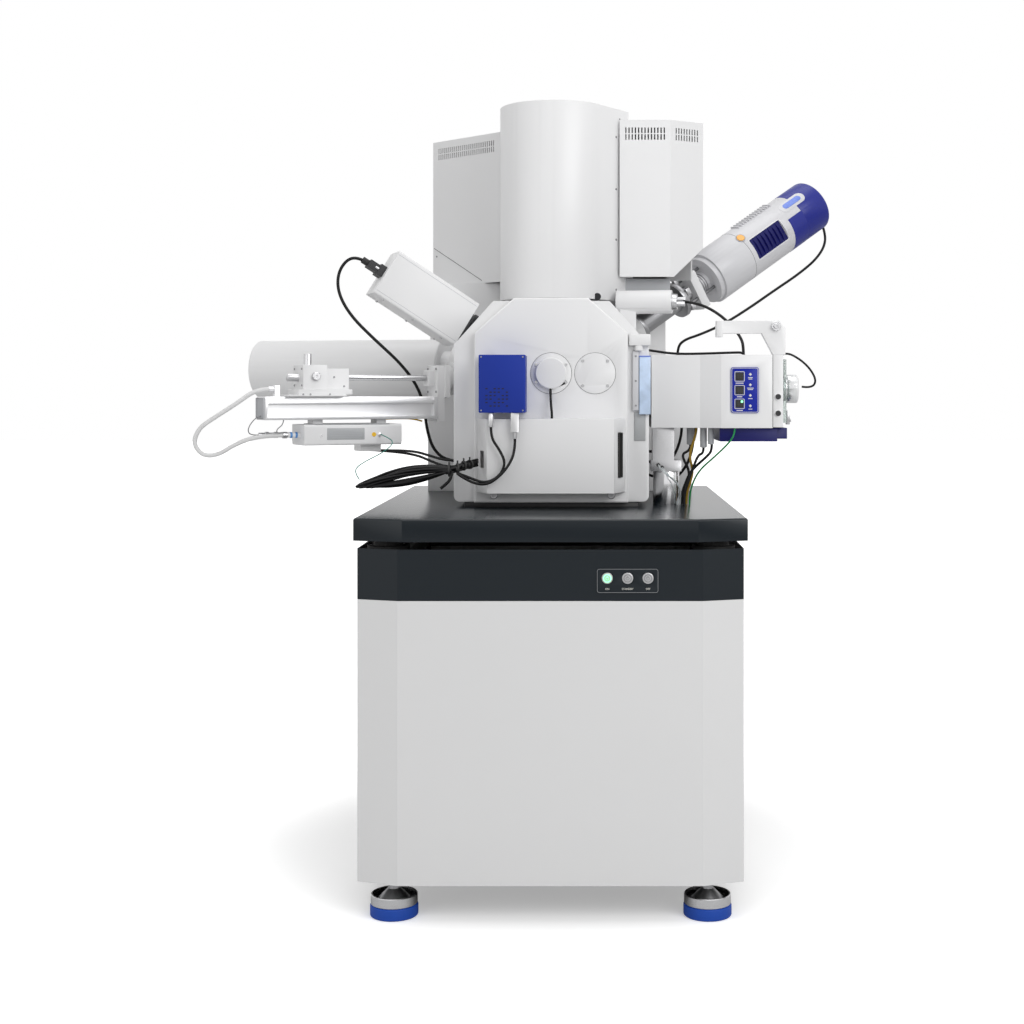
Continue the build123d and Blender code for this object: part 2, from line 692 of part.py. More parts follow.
control = block(
    CONTROL_X - CONTROL_W / 2, CONTROL_X + CONTROL_W / 2, DOOR_FACE - SEAT - CONTROL_D, DOOR_FACE - SEAT,
    CONTROL_Z - CONTROL_H / 2, CONTROL_Z + CONTROL_H / 2,
)
control = fillet(control.edges().filter_by(Axis.Y), 2.5)
control_face = DOOR_FACE - SEAT - CONTROL_D
control_foot = CONTROL_Z - CONTROL_H / 2
socket_y = control_face + PLUG_INSET
socket_x = [CONTROL_X + x for x in PLUG_OFFSETS]
plug_foot = [control_foot - drop for drop in PLUG_DROPS]
plug_a = pillar(socket_x[0], socket_y, plug_foot[0], control_foot, 12)
plug_b = block(socket_x[1] - 9, socket_x[1] + 9, socket_y - 6, socket_y + 6, plug_foot[1] + 14, control_foot)
plug_b += pillar(socket_x[1], socket_y, plug_foot[1], plug_foot[1] + 14, 11)
parts["door_control_box"] = [control, plug_a, plug_b]
parts["door_guides"] = [
    bar_y(AXIS_X + x, GUIDE_Z, DOOR_BACK, DOOR_BACK + GUIDE_LENGTH, GUIDE_D) for x in (-GUIDE_X, GUIDE_X)
]

# Stage: a base on the door's back, two crossed slides, a lift, a tilting cradle and a platter
z_base = CAVITY_FLOOR + 12
base = block(
    AXIS_X - STAGE_PLATE_HALF, AXIS_X + STAGE_PLATE_HALF, DOOR_BACK, STAGE_BACK, z_base,
    z_base + STAGE_PLATE_THICK,
)
base += block(
    AXIS_X - STAGE_PLATE_HALF, AXIS_X + STAGE_PLATE_HALF, DOOR_BACK, DOOR_BACK + 18,
    z_base, z_base + 130,
)
z_x = z_base + STAGE_PLATE_THICK
for y in (-RAIL_OFFSET, RAIL_OFFSET):
    base += block(
        AXIS_X - STAGE_PLATE_HALF, AXIS_X + STAGE_PLATE_HALF, y - RAIL_W / 2, y + RAIL_W / 2,
        z_x, z_x + RAIL_H,
    )
parts["stage_base"] = [base]

plate_x = block(
    AXIS_X - CARRIAGE_HALF, AXIS_X + CARRIAGE_HALF, -CARRIAGE_HALF, CARRIAGE_HALF, z_x + SEAT,
    z_x + CARRIAGE_THICK,
)
for y in (-RAIL_OFFSET, RAIL_OFFSET):
    plate_x -= block(
        AXIS_X - CARRIAGE_HALF - 1, AXIS_X + CARRIAGE_HALF + 1, y - RAIL_W / 2 - SEAT,
        y + RAIL_W / 2 + SEAT, z_x, z_x + RAIL_H + SEAT,
    )
z_y = z_x + CARRIAGE_THICK
for x in (-RAIL_OFFSET, RAIL_OFFSET):
    plate_x += block(
        AXIS_X + x - RAIL_W / 2, AXIS_X + x + RAIL_W / 2, -CARRIAGE_HALF, CARRIAGE_HALF,
        z_y, z_y + RAIL_H,
    )
parts["stage_x"] = [plate_x]

plate_y = block(
    AXIS_X - CARRIAGE_HALF, AXIS_X + CARRIAGE_HALF, -CARRIAGE_HALF + 24, CARRIAGE_HALF - 24,
    z_y + SEAT, z_y + CARRIAGE_THICK,
)
for x in (-RAIL_OFFSET, RAIL_OFFSET):
    plate_y -= block(
        AXIS_X + x - RAIL_W / 2 - SEAT, AXIS_X + x + RAIL_W / 2 + SEAT, -CARRIAGE_HALF, CARRIAGE_HALF,
        z_y, z_y + RAIL_H + SEAT,
    )
z_lift = z_y + CARRIAGE_THICK
for x in (-LIFT_POST_X, LIFT_POST_X):
    plate_y += pillar(AXIS_X + x, 0, z_lift - 1, z_lift + LIFT_POST_H, LIFT_POST_D)
parts["stage_y"] = [plate_y]

lift = block(
    AXIS_X - CARRIAGE_HALF, AXIS_X + CARRIAGE_HALF, -CRADLE_HALF, CRADLE_HALF, z_lift + SEAT,
    z_lift + LIFT_PLATE,
)
for x in (-LIFT_POST_X, LIFT_POST_X):
    lift -= pillar(AXIS_X + x, 0, z_lift, z_lift + LIFT_PLATE + 1, LIFT_POST_D + 2 * RUN)
for x in (-CHEEK_X, CHEEK_X):
    cheek = block(
        AXIS_X + x - CHEEK_THICK / 2, AXIS_X + x + CHEEK_THICK / 2, -16, 16,
        z_lift + LIFT_PLATE - 1, STAGE_Z + 12,
    )
    lift += cheek
lift -= bar_x(
    0, STAGE_Z, AXIS_X - CHEEK_X - CHEEK_THICK, AXIS_X + CHEEK_X + CHEEK_THICK, TILT_PIN_D + 2 * RUN,
)
parts["stage_z"] = [lift]

inner_cheek = CHEEK_X - CHEEK_THICK / 2 - SEAT
cradle = block(
    AXIS_X - inner_cheek, AXIS_X + inner_cheek, -CRADLE_HALF + 6, CRADLE_HALF - 6,
    STAGE_Z - CRADLE_DEPTH - CRADLE_THICK, STAGE_Z - CRADLE_DEPTH,
)
for sign in (-1, 1):
    arm_in = AXIS_X + sign * (inner_cheek - 7)
    arm_out = AXIS_X + sign * inner_cheek
    cradle += block(
        min(arm_in, arm_out), max(arm_in, arm_out), -12, 12, STAGE_Z - CRADLE_DEPTH - 1, STAGE_Z + 10,
    )
    pin_out = AXIS_X + sign * (CHEEK_X + CHEEK_THICK / 2)
    cradle += bar_x(0, STAGE_Z, min(arm_in, pin_out), max(arm_in, pin_out), TILT_PIN_D)
cradle -= pillar(
    AXIS_X, 0, STAGE_Z - CRADLE_DEPTH - CRADLE_THICK - 1, STAGE_Z - CRADLE_DEPTH + 1, SPINDLE_D + 2 * RUN,
)
parts["stage_tilt"] = [cradle]

platter_z = STAGE_Z - CRADLE_DEPTH + SEAT
platter = pillar(AXIS_X, 0, platter_z, platter_z + PLATTER_THICK, PLATTER_D)
platter += pillar(AXIS_X, 0, platter_z - CRADLE_THICK, platter_z, SPINDLE_D)
stub_top = platter_z + PLATTER_THICK + STUB_H
platter += pillar(AXIS_X, 0, platter_z + PLATTER_THICK, stub_top, STUB_D)
for i in range(STUB_COUNT):
    a = 2 * math.pi * i / STUB_COUNT
    platter += pillar(
        AXIS_X + STUB_RING * math.cos(a), STUB_RING * math.sin(a),
        platter_z + PLATTER_THICK, stub_top, STUB_D,
    )
parts["stage_rotation"] = [platter]

# Objective lens and beam column, inside the covers
lens_profile = Polyline(
    (BEAM_D / 2, LENS_TIP_Z), (LENS_TIP_D / 2, LENS_TIP_Z), (LENS_D / 2, LENS_TIP_Z + LENS_CONE_H),
    (LENS_D / 2, CHAMBER_TOP), (LENS_D / 2 + 14, CHAMBER_TOP + SEAT),
    (LENS_D / 2 + 14, COLUMN_BOTTOM - SEAT),
    (BEAM_D / 2, COLUMN_BOTTOM - SEAT), close=True,
)
parts["objective_lens"] = [Pos(AXIS_X, 0, 0) * revolve(make_face(Plane.XZ * lens_profile), Axis.Z)]
gun_profile = Polyline(
    (BEAM_D / 2, COLUMN_BOTTOM - SEAT), (COLUMN_TUBE_D / 2 + 12, COLUMN_BOTTOM - SEAT),
    (COLUMN_TUBE_D / 2 + 12, COLUMN_BOTTOM + 18), (COLUMN_TUBE_D / 2, COLUMN_BOTTOM + 18),
    (COLUMN_TUBE_D / 2, GUN_BOTTOM - 20), (GUN_D / 2, GUN_BOTTOM), (GUN_D / 2, GUN_TOP),
    (GUN_D / 2 - 20, GUN_TOP + 20), (BEAM_D / 2, GUN_TOP + 20), close=True,
)
parts["beam_column"] = [Pos(AXIS_X, 0, 0) * revolve(make_face(Plane.XZ * gun_profile), Axis.Z)]


# Column cover: round in front, with a flat flank on the right that runs back to the rear cover
def column_outline(r):
    a = math.radians(FLANK_ANGLE)
    inset = COLUMN_R - r
    start = (AXIS_X - COLUMN_LEFT + inset, COLUMN_BACK)
    left = (AXIS_X - COLUMN_LEFT + inset, COLUMN_LEFT_Y)
    front = (AXIS_X, -r)
    bend = (AXIS_X + r * math.cos(a), -r * math.sin(a))
    far = (FLANK_X - inset, FLANK_Y)
    rear_right = (FLANK_X - inset, COLUMN_BACK)
    mid_left = (AXIS_X - r * math.cos(math.radians(45)), -r * math.sin(math.radians(45)))
    mid_right = (AXIS_X + r * math.cos(math.radians(66)), -r * math.sin(math.radians(66)))
    outline = Line(start, left) + ThreePointArc(left, mid_left, front)
    outline += ThreePointArc(front, mid_right, bend) + Line(bend, far)
    outline += Line(far, rear_right) + Line(rear_right, start)
    return make_face(outline)


column = Pos(0, 0, COLUMN_BOTTOM) * extrude(column_outline(COLUMN_R), COLUMN_TOP - COLUMN_BOTTOM)
hollow = extrude(column_outline(COLUMN_R - COLUMN_WALL), COLUMN_TOP - COLUMN_BOTTOM - COLUMN_WALL + 1)
column -= Pos(0, 0, COLUMN_BOTTOM - 1) * hollow
parts["column_cover"] = [column]

# Rear covers with rows of vent slots below their roofs
lx0, ly0 = LEFT_NEAR
lx1, ly1 = LEFT_FAR
left_plan = [(lx0, ly0), (AXIS_X - SEAT, ly0), (AXIS_X - SEAT, REAR_BACK), (lx1, REAR_BACK), (lx1, ly1)]
left_cover = shell_up(left_plan, REAR_BOTTOM + SEAT, REAR_TOP, REAR_WALL)
right_plan = [
    (RIGHT_NEAR_X, RIGHT_NEAR_Y), (RIGHT_FOLD_X, RIGHT_NEAR_Y), (RIGHT_FAR_X, RIGHT_FAR_Y),
    (RIGHT_FAR_X, RIGHT_FAR_Y + 36), (RIGHT_SIDE_X, RIGHT_FAR_Y + 120), (RIGHT_SIDE_X, REAR_BACK),
    (AXIS_X, REAR_BACK), (AXIS_X, COLUMN_BACK + SEAT), (RIGHT_INNER_X, COLUMN_BACK + SEAT),
    (RIGHT_INNER_X, FLANK_Y),
]
right_cover = shell_up(right_plan, REAR_BOTTOM + SEAT, REAR_TOP, REAR_WALL)
right_cover -= fore_and_aft([
    (CORNER_CUT_X, REAR_BOTTOM - 1), (RIGHT_FAR_X + 1, REAR_BOTTOM - 1), (RIGHT_FAR_X + 1, CORNER_CUT_TOP),
], RIGHT_NEAR_Y - 5, RIGHT_FAR_Y + 60)


def cut_vents(cover, start, end, z, margin, turn):
    """Cut two rows of upright slots along one wall, from start to end in plan."""
    length = math.hypot(end[0] - start[0], end[1] - start[1])
    count = int((length - 2 * margin) / VENT_PITCH)
    first = (length - (count - 1) * VENT_PITCH) / 2
    for i in range(count):
        f = (first + i * VENT_PITCH) / length
        x = start[0] + f * (end[0] - start[0])
        y = start[1] + f * (end[1] - start[1])
        for dz in (0, VENT_H + VENT_GAP):
            cover -= Pos(x, y, z - dz) * Rot(0, 0, turn) * Box(VENT_W, 12, VENT_H)
    return cover


vent_z = REAR_TOP - VENT_DROP
left_cover = cut_vents(left_cover, (lx1, ly1), (lx0, ly0), vent_z, 16.0, -43.2)
right_cover = cut_vents(
    right_cover, (RIGHT_NEAR_X, RIGHT_NEAR_Y), (RIGHT_FOLD_X, RIGHT_NEAR_Y), vent_z, 10.0, 0,
)
right_turn = math.degrees(math.atan2(RIGHT_FAR_Y - RIGHT_NEAR_Y, RIGHT_FAR_X - RIGHT_FOLD_X))
right_cover = cut_vents(
    right_cover, (RIGHT_FOLD_X, RIGHT_NEAR_Y), (RIGHT_FAR_X, RIGHT_FAR_Y), vent_z, 10.0, right_turn,
)
parts["left_rear_cover"] = [left_cover]
parts["right_rear_cover"] = [right_cover]

# Rear chassis: a wide lower box and a narrower upper box that carries the rear covers
low_plan = [
    (lx1, REAR_FRONT), (CHASSIS_LOW_X, REAR_FRONT), (CHASSIS_LOW_X, REAR_BACK), (lx1, REAR_BACK),
]
high_plan = [
    (lx1, REAR_FRONT + 60), (lx1 + 60, REAR_FRONT), (RIGHT_SIDE_X - 65, REAR_FRONT),
    (RIGHT_SIDE_X, REAR_FRONT + 75), (RIGHT_SIDE_X, REAR_BACK), (lx1, REAR_BACK),
]
low_inner = [
    (lx1 + 4, REAR_FRONT + 4), (CHASSIS_LOW_X - 4, REAR_FRONT + 4), (CHASSIS_LOW_X - 4, REAR_BACK - 4),
    (lx1 + 4, REAR_BACK - 4),
]
chassis = upright(low_plan, TABLE_TOP, CHASSIS_LOW_TOP) + upright(high_plan, CHASSIS_LOW_TOP, REAR_BOTTOM)
chassis -= upright(low_inner, TABLE_TOP - 1, CHASSIS_LOW_TOP - 4)
high_inner = [
    (lx1 + 8, REAR_FRONT + 65), (lx1 + 66, REAR_FRONT + 6), (RIGHT_SIDE_X - 70, REAR_FRONT + 6),
    (RIGHT_SIDE_X - 6, REAR_FRONT + 78), (RIGHT_SIDE_X - 6, REAR_BACK - 4), (lx1 + 8, REAR_BACK - 4),
]
chassis -= upright(high_inner, CHASSIS_LOW_TOP + 4, REAR_BOTTOM - 4)
chassis -= bar_y(AXIS_X, TURBO_Z, REAR_FRONT - 1, REAR_FRONT + 10, TURBO_FLANGE_D + 2 * SEAT)
parts["rear_chassis"] = [chassis]
turbo = bar_y(AXIS_X, TURBO_Z, CHAMBER_BACK, CHAMBER_BACK + 12, TURBO_FLANGE_D)
turbo += bar_y(AXIS_X, TURBO_Z, CHAMBER_BACK + 12, CHAMBER_BACK + TURBO_L, TURBO_D)
turbo += block(
    AXIS_X - 40, AXIS_X + 40, CHAMBER_BACK + 30, CHAMBER_BACK + TURBO_L - 10, TURBO_Z - 110, TURBO_Z - 60,
)
parts["turbo_pump"] = [turbo]

# Large side detector: flange, neck and a long round housing
side_detector = along(side_port, side_flange, side_flange + SIDE_FLANGE, side_flange_d)
side_detector += along(side_port, side_flange + SIDE_FLANGE, SIDE_START, SIDE_NECK_D)
side_housing = along(side_port, SIDE_START, SIDE_END, SIDE_D)
side_housing = fillet(side_housing.edges().filter_by(GeomType.CIRCLE), 5)
side_housing -= along(side_port, SIDE_START + SIDE_WALL, SIDE_END - SIDE_WALL, SIDE_D - 2 * SIDE_WALL)
parts["side_detector"] = [side_detector + side_housing]

# Retractable probe: port with its two plates, rail, carriage with the rod, and preamplifier
plate_a = PORT_END + PORT_PLATE
plate_b = plate_a + CARRIER_PLATE
port_tube = bar_x(0, 0, probe_flange, probe_flange + PORT_FLANGE, PORT_FLANGE_D)
port_tube += bar_x(0, 0, probe_flange + PORT_FLANGE, PORT_END, PORT_D)
port_tube += block(PORT_END, plate_a, -PORT_PLATE_W / 2, PORT_PLATE_W / 2, -46, 30)
port_tube += block(
    plate_a, plate_b, -PORT_PLATE_W / 2 + 5, PORT_PLATE_W / 2 - 5, RAIL_BOTTOM - PROBE_Z - 7, 30,
)
port_tube += block(plate_b, plate_b + 16, -19, 19, -19, 19)
port_tube -= bar_x(0, 0, probe_flange - 1, plate_b + 20, ROD_D + 2 * RUN)
parts["probe_port"] = [in_frame(probe_port, port_tube)]

rail_z0 = RAIL_BOTTOM - PROBE_Z
rail_z1 = RAIL_TOP - PROBE_Z
flange = RAIL_FLANGE
rail = block(plate_b, RAIL_END, -RAIL_DEPTH / 2, RAIL_DEPTH / 2, rail_z0, rail_z1)
for sign in (-1, 1):
    y_in = sign * (RAIL_DEPTH / 2 - 12)
    y_out = sign * (RAIL_DEPTH / 2 + 1)
    rail -= block(plate_b + RAIL_END_PLATE, RAIL_END - RAIL_END_PLATE, min(y_in, y_out), max(y_in, y_out),
                  rail_z0 + flange, rail_z1 - flange - 8)
    rail -= block(plate_b + RAIL_END_PLATE, RAIL_END - RAIL_END_PLATE, min(y_in, y_out), max(y_in, y_out),
                  rail_z1 - 8, rail_z1 + 1)
fitting_z = rail_z1 + HOSE_LIFT
rail += block(HOSE_LUG, HOSE_LUG + 12, -10, 10, rail_z1, fitting_z + 9)
rail += bar_x(0, fitting_z, HOSE_LUG + 12, HOSE_LUG + 24, HOSE_D + 2)
parts["probe_rail"] = [in_frame(probe_port, rail)]

slide_z = rail_z1 + SEAT
block_split = CARRIAGE_START + 4 + LOW_BLOCK_L
block_end = block_split + TALL_BLOCK_L
carriage = block(CARRIAGE_START + 16, CARRIAGE_END, -50, 50, slide_z, slide_z + 4)
carriage += block(CARRIAGE_START, CARRIAGE_END - 24, -44, 44, slide_z + 4, -27)
carriage += block(block_split, block_end, -40, 40, -27, 29)
carriage += block(CARRIAGE_START + 4, block_split, -30, 30, -27, 21)
carriage += bar_x(0, 0, block_end, block_end + 26, KNOB_D)
carriage += Pos(block_end - 22, 0, 42) * Cylinder(KNOB_D / 2, 26)
carriage += bar_y(block_end - 32, 0, -48, -40, KNOB_D)
rod = bar_x(0, 0, ROD_TIP + 20, CARRIAGE_START + 6, ROD_D)
rod += bar_x(0, 0, ROD_TIP, ROD_TIP + 20, ROD_D - 5)
carriage -= bar_x(0, 0, CARRIAGE_START + 3, CARRIAGE_START + 6, ROD_D + 4)
parts["probe_carriage"] = [in_frame(probe_port, carriage), in_frame(probe_port, rod)]

preamp_z0 = PREAMP_BOTTOM - PROBE_Z
preamp_z1 = PREAMP_TOP - PROBE_Z
preamp = block(PREAMP_START, PREAMP_END, -PREAMP_DEPTH / 2, PREAMP_DEPTH / 2, preamp_z0, preamp_z1)
preamp = fillet(preamp.edges().filter_by(Axis.X), 5)
for r in (PREAMP_START + 40, PREAMP_END - 40):
    preamp += block(r - 12, r + 12, -20, 20, preamp_z1 - 1, rail_z0)
preamp += bar_x(-20, (preamp_z0 + preamp_z1) / 2, PREAMP_END, PREAMP_END + 30, CONNECTOR_D)
preamp += bar_x(14, (preamp_z0 + preamp_z1) / 2, PREAMP_END, PREAMP_END + 30, CONNECTOR_D)
preamp += block(PREAMP_START + 42, PREAMP_START + 92, -24, 24, preamp_z0 - 16, preamp_z0)
parts["probe_preamp"] = [in_frame(probe_port, preamp)]

# Box detector: housing, plug on its outer end, and a neck with rods and flanges
box_end = BOX_START + BOX_LENGTH
housing = block(BOX_START, box_end, -BOX_DEPTH / 2, BOX_DEPTH / 2, -BOX_H / 2, BOX_H / 2)
housing = fillet(housing.edges().filter_by(Axis.X), 5)
plug_z = 0.0
housing += block(box_end, box_end + 16, -22, 22, plug_z - 14, plug_z + 14)
housing += block(box_end + 16, box_end + 42, -17, 17, plug_z - 10, plug_z + 10)
neck = bar_x(0, 0, BOX_BOSS_END, BOX_BOSS_END + 8, BOX_NECK_D + 22)
neck += bar_x(0, 0, BOX_BOSS_END + 8, BOX_START, BOX_NECK_D - 16)
neck += bar_x(0, 0, BOX_START - 7, BOX_START, BOX_NECK_D + 22)
for y in (-32, 32):
    for z in (-12, 12):
        neck += bar_x(y, z, BOX_BOSS_END + 4, BOX_START - 4, 7)
parts["box_detector"] = [in_frame(box_port, housing), in_frame(box_port, neck)]

# X-ray detector: a mount with rods that the body slides out on
mount = bar_x(0, 0, XRAY_BOSS_END, XRAY_BOSS_END + 12, XRAY_TUBE_D + 26)
mount += bar_x(0, 0, XRAY_BOSS_END + 12, XRAY_FLANGE, XRAY_TUBE_D)
mount += bar_x(0, 0, XRAY_FLANGE, XRAY_FLANGE + 14, XRAY_FLANGE_D)
rod_reach = XRAY_START + 110.0
rod_angles = [math.radians(90 + 120 * i) for i in range(3)]
rod_places = [(XRAY_ROD_RING * math.cos(a), XRAY_ROD_RING * math.sin(a)) for a in rod_angles]
plate_end = PLATE_START + PLATE_THICK
plate = block(PLATE_START, plate_end, -PLATE_W / 2, PLATE_W / 2, -PLATE_H / 2, PLATE_H / 2)
plate = fillet(plate.edges().filter_by(Axis.X), 5)
plate -= bar_x(0, 0, PLATE_START - 1, plate_end + 1, XRAY_BORE_D)
for y, z in rod_places:
    mount += bar_x(y, z, XRAY_FLANGE + 10, rod_reach, XRAY_ROD_D)
    plate -= bar_x(y, z, PLATE_START - 1, plate_end + 1, XRAY_ROD_D + 2 * RUN)
mount -= bar_x(0, 0, XRAY_BOSS_END - 1, XRAY_FLANGE + 15, XRAY_BORE_D)
parts["xray_mount"] = [in_frame(xray_port, mount)]
parts["xray_plate"] = [in_frame(xray_port, plate)]

cap_start = XRAY_END - XRAY_CAP_L
nose = XRAY_START + 14
body = bar_x(0, 0, XRAY_START, nose, XRAY_D - 14)
body += bar_x(0, 0, nose, cap_start, XRAY_D)
body += bar_x(0, 0, plate_end + 6, XRAY_START, XRAY_BORE_D + 12)
body += bar_x(0, 0, XRAY_NOSE, plate_end + 6, XRAY_NOSE_D)
for y, z in rod_places:
    body -= bar_x(y, z, XRAY_START - 1, rod_reach + XRAY_TRAVEL, XRAY_ROD_D + 4 * RUN)
pocket = Rot(LOUVRE_TURN, 0, 0) * Pos(LOUVRE_X, -XRAY_D / 2, 0)
body -= pocket * Box(LOUVRE_L, 2 * LOUVRE_DEPTH, LOUVRE_H)
grille = Pos(0, LOUVRE_DEPTH - 2 - SEAT, 0) * Box(LOUVRE_L - 2 * SEAT, 4, LOUVRE_H - 2 * SEAT)
fin_pitch = LOUVRE_L / (LOUVRE_FINS + 1)
for i in range(LOUVRE_FINS):
    fin_x = (i - (LOUVRE_FINS - 1) / 2) * fin_pitch
    grille += Pos(fin_x, LOUVRE_DEPTH - 6, 0) * Rot(0, 0, 25) * Box(2.4, 6, LOUVRE_H - 2 * SEAT)
grille = (pocket * grille) & bar_x(0, 0, XRAY_START, cap_start, XRAY_D - 4)
parts["xray_louvre"] = [in_frame(xray_port, grille)]
parts["xray_body"] = [in_frame(xray_port, body)]
cap = bar_x(0, 0, cap_start, XRAY_END, XRAY_D)
cap = fillet(cap.edges().filter_by(GeomType.CIRCLE).sort_by(Axis.X)[-1], 9)
cap += block(XRAY_END - 2, XRAY_END + XRAY_PLUG, -10, 10, XRAY_PLUG_FOOT, XRAY_PLUG_FOOT + XRAY_PLUG_H)
parts["xray_cap"] = [in_frame(xray_port, cap)]

# Tube detector on the right shoulder, on a saddle
tube = bar_x(0, 0, TUBE_START, TUBE_END, TUBE_D)
tube = fillet(tube.edges().filter_by(GeomType.CIRCLE).sort_by(Axis.X)[-1], 3)
tube += bar_x(0, 0, TUBE_END, TUBE_END + 12, 40)
tube += bar_x(8, 6, TUBE_END + 12, TUBE_END + 32, 13)
tube += bar_x(-9, -6, TUBE_END + 12, TUBE_END + 32, 13)
tube = in_frame(tube_port, tube)
saddle_x = AXIS_X + 182.0
saddle_y = -math.tan(math.radians(180.0 - TUBE_AZIMUTH)) * 182.0
saddle = block(saddle_x - 20, saddle_x + 20, saddle_y - 20, saddle_y + 20, 1150.0, TUBE_Z - 4)
saddle -= fore_and_aft(
    shouldered(
        CHAMBER_HALF + SEAT, CHAMBER_TOP_HALF + SEAT, CHAMBER_SHOULDER, CHAMBER_BOTTOM, CHAMBER_TOP + SEAT,
    ),
    CHAMBER_FRONT, CHAMBER_BACK,
)
parts["tube_detector"] = [tube + saddle]

# Airlock: a box with a nearer right half, its end block, arm, panel, camera, drive box and stand
lock_plan = [
    (LOCK_START, LOCK_FRONT), (LOCK_FOLD, LOCK_FRONT), (LOCK_PROUD_X, LOCK_FRONT - LOCK_PROUD),
    (LOCK_END, LOCK_FRONT - LOCK_PROUD), (LOCK_END, LOCK_BACK), (LOCK_START, LOCK_BACK),
]
lock = upright(lock_plan, LOCK_BOTTOM, LOCK_TOP)
lock_face = LOCK_FRONT - LOCK_PROUD
w = LOCK_WALL
lock_hollow = block(
    LOCK_START + w, LOCK_END - w, LOCK_FRONT + w, LOCK_BACK - w, LOCK_BOTTOM + w, LOCK_TOP - w,
)
lock -= lock_hollow
lock -= block(
    LOCK_START - 1, LOCK_START + w + 1, SLOT_Y - SLOT_W / 2, SLOT_Y + SLOT_W / 2, SLOT_BOTTOM, SLOT_TOP,
)
sleeve = block(
    AXIS_X + CHAMBER_HALF + SEAT, LOCK_START, SLOT_Y - SLOT_W / 2 - 16, SLOT_Y + SLOT_W / 2 + 16,
    SLOT_BOTTOM - 16, SLOT_TOP + 16,
)
sleeve -= block(
    AXIS_X + CHAMBER_HALF, LOCK_START + 1, SLOT_Y - SLOT_W / 2, SLOT_Y + SLOT_W / 2, SLOT_BOTTOM, SLOT_TOP,
)
lock += sleeve
panel_pocket = KEY_DEPTH + KEY_TRAVEL + 4
lock -= block(
    PANEL_X - PANEL_W / 2 + 3, PANEL_X + PANEL_W / 2 - 3, lock_face - 1, lock_face + panel_pocket,
    PANEL_Z - PANEL_H / 2 + 3, PANEL_Z + PANEL_H / 2 - 3,
)
end_block = block(
    LOCK_END + SEAT, LOCK_END + END_BLOCK, lock_face, lock_face + 190, LOCK_BOTTOM + 2, LOCK_TOP,
)
for z in (1034.0, 1072.0):
    end_block += bar_y(LOCK_END + END_BLOCK / 2, z, lock_face - 5, lock_face, 13)

arm_leg_x = ARM_RIGHT - ARM_LEG
arm_under = LOCK_TOP + ARM_RISE
arm_top = arm_under + ARM_BAR_H
arm = fore_and_aft([
    (ARM_LEFT, arm_under), (arm_leg_x, arm_under), (arm_leg_x + 26, LOCK_TOP + SEAT),
    (ARM_RIGHT, LOCK_TOP + SEAT), (ARM_RIGHT, arm_top - 18), (ARM_RIGHT - 13, arm_top), (ARM_LEFT, arm_top),
], lock_face + 6, lock_face + 6 + ARM_THICK)
arm += block(ARM_LEFT, ARM_LEFT + 14, lock_face + 2, lock_face + ARM_PAD_DEPTH, arm_under - 8, arm_top)
arm += bar_y(ARM_RIGHT - 22, (arm_top + arm_under) / 2 + 2, lock_face, lock_face + 6, 23)
parts["airlock_box"] = [lock, end_block, arm]

panel = block(
    PANEL_X - PANEL_W / 2, PANEL_X + PANEL_W / 2, lock_face - PANEL_THICK, lock_face,
    PANEL_Z - PANEL_H / 2, PANEL_Z + PANEL_H / 2,
)
panel = fillet(panel.edges().filter_by(Axis.Y), 6)
panel += block(
    PANEL_X - PANEL_W / 2 + 3 + SEAT, PANEL_X + PANEL_W / 2 - 3 - SEAT, lock_face,
    lock_face + panel_pocket - SEAT, PANEL_Z - PANEL_H / 2 + 3 + SEAT, PANEL_Z + PANEL_H / 2 - 3 - SEAT,
)
panel_face = lock_face - PANEL_THICK
key_z = [PANEL_Z + (1 - i) * KEY_PITCH for i in range(3)]
hole = KEY_SIZE / 2 + SEAT
for z in key_z:
    panel -= block(
        KEY_X - hole, KEY_X + hole, panel_face - 1,
        panel_face + KEY_DEPTH + KEY_TRAVEL + SEAT, z - hole, z + hole,
    )
parts["airlock_panel"] = [panel]
key_half = KEY_SIZE / 2
for name, z in zip(("airlock_key_top", "airlock_key_middle", "airlock_key_bottom"), key_z):
    key = block(
        KEY_X - key_half, KEY_X + key_half, panel_face - KEY_PROUD,
        panel_face + KEY_DEPTH, z - key_half, z + key_half,
    )
    parts[name] = [fillet(key.edges().filter_by(Axis.Y), 1.2)]

camera_x = LOCK_END + END_BLOCK
lock_camera = bar_x(LOCK_CAMERA_Y, LOCK_CAMERA_Z, camera_x, camera_x + 18, LOCK_CAMERA_D - 12)
lock_camera += bar_x(LOCK_CAMERA_Y, LOCK_CAMERA_Z, camera_x + 18, camera_x + 43, LOCK_CAMERA_D)
lock_camera = fillet(lock_camera.edges().filter_by(GeomType.CIRCLE).sort_by(Axis.X)[-1], 4)
parts["airlock_camera"] = [lock_camera]
drive = block(DRIVE_LEFT, DRIVE_RIGHT - 24, lock_face + 12, LOCK_BACK - 60, DRIVE_BOTTOM, LOCK_BOTTOM)
drive += block(DRIVE_RIGHT - 24, DRIVE_RIGHT, lock_face + 24, LOCK_BACK - 80, DRIVE_BOTTOM + 6, LOCK_BOTTOM)
parts["airlock_drive_box"] = [drive]

stand = pillar(STAND_X, STAND_Y, TABLE_TOP, TABLE_TOP + STAND_H, STAND_D)
bracket_z = TABLE_TOP + STAND_H
bracket = block(
    STAND_X - 36, STAND_X + 34, STAND_Y - 34, STAND_Y + 34, bracket_z, bracket_z + STAND_BRACKET_H,
)
post = block(
    STAND_X - STAND_POST / 2 - 8, STAND_X + STAND_POST / 2 - 8, STAND_Y - 34, STAND_Y + 20,
    bracket_z + STAND_BRACKET_H, LOCK_BOTTOM,
)
parts["airlock_stand"] = [stand, bracket + post]


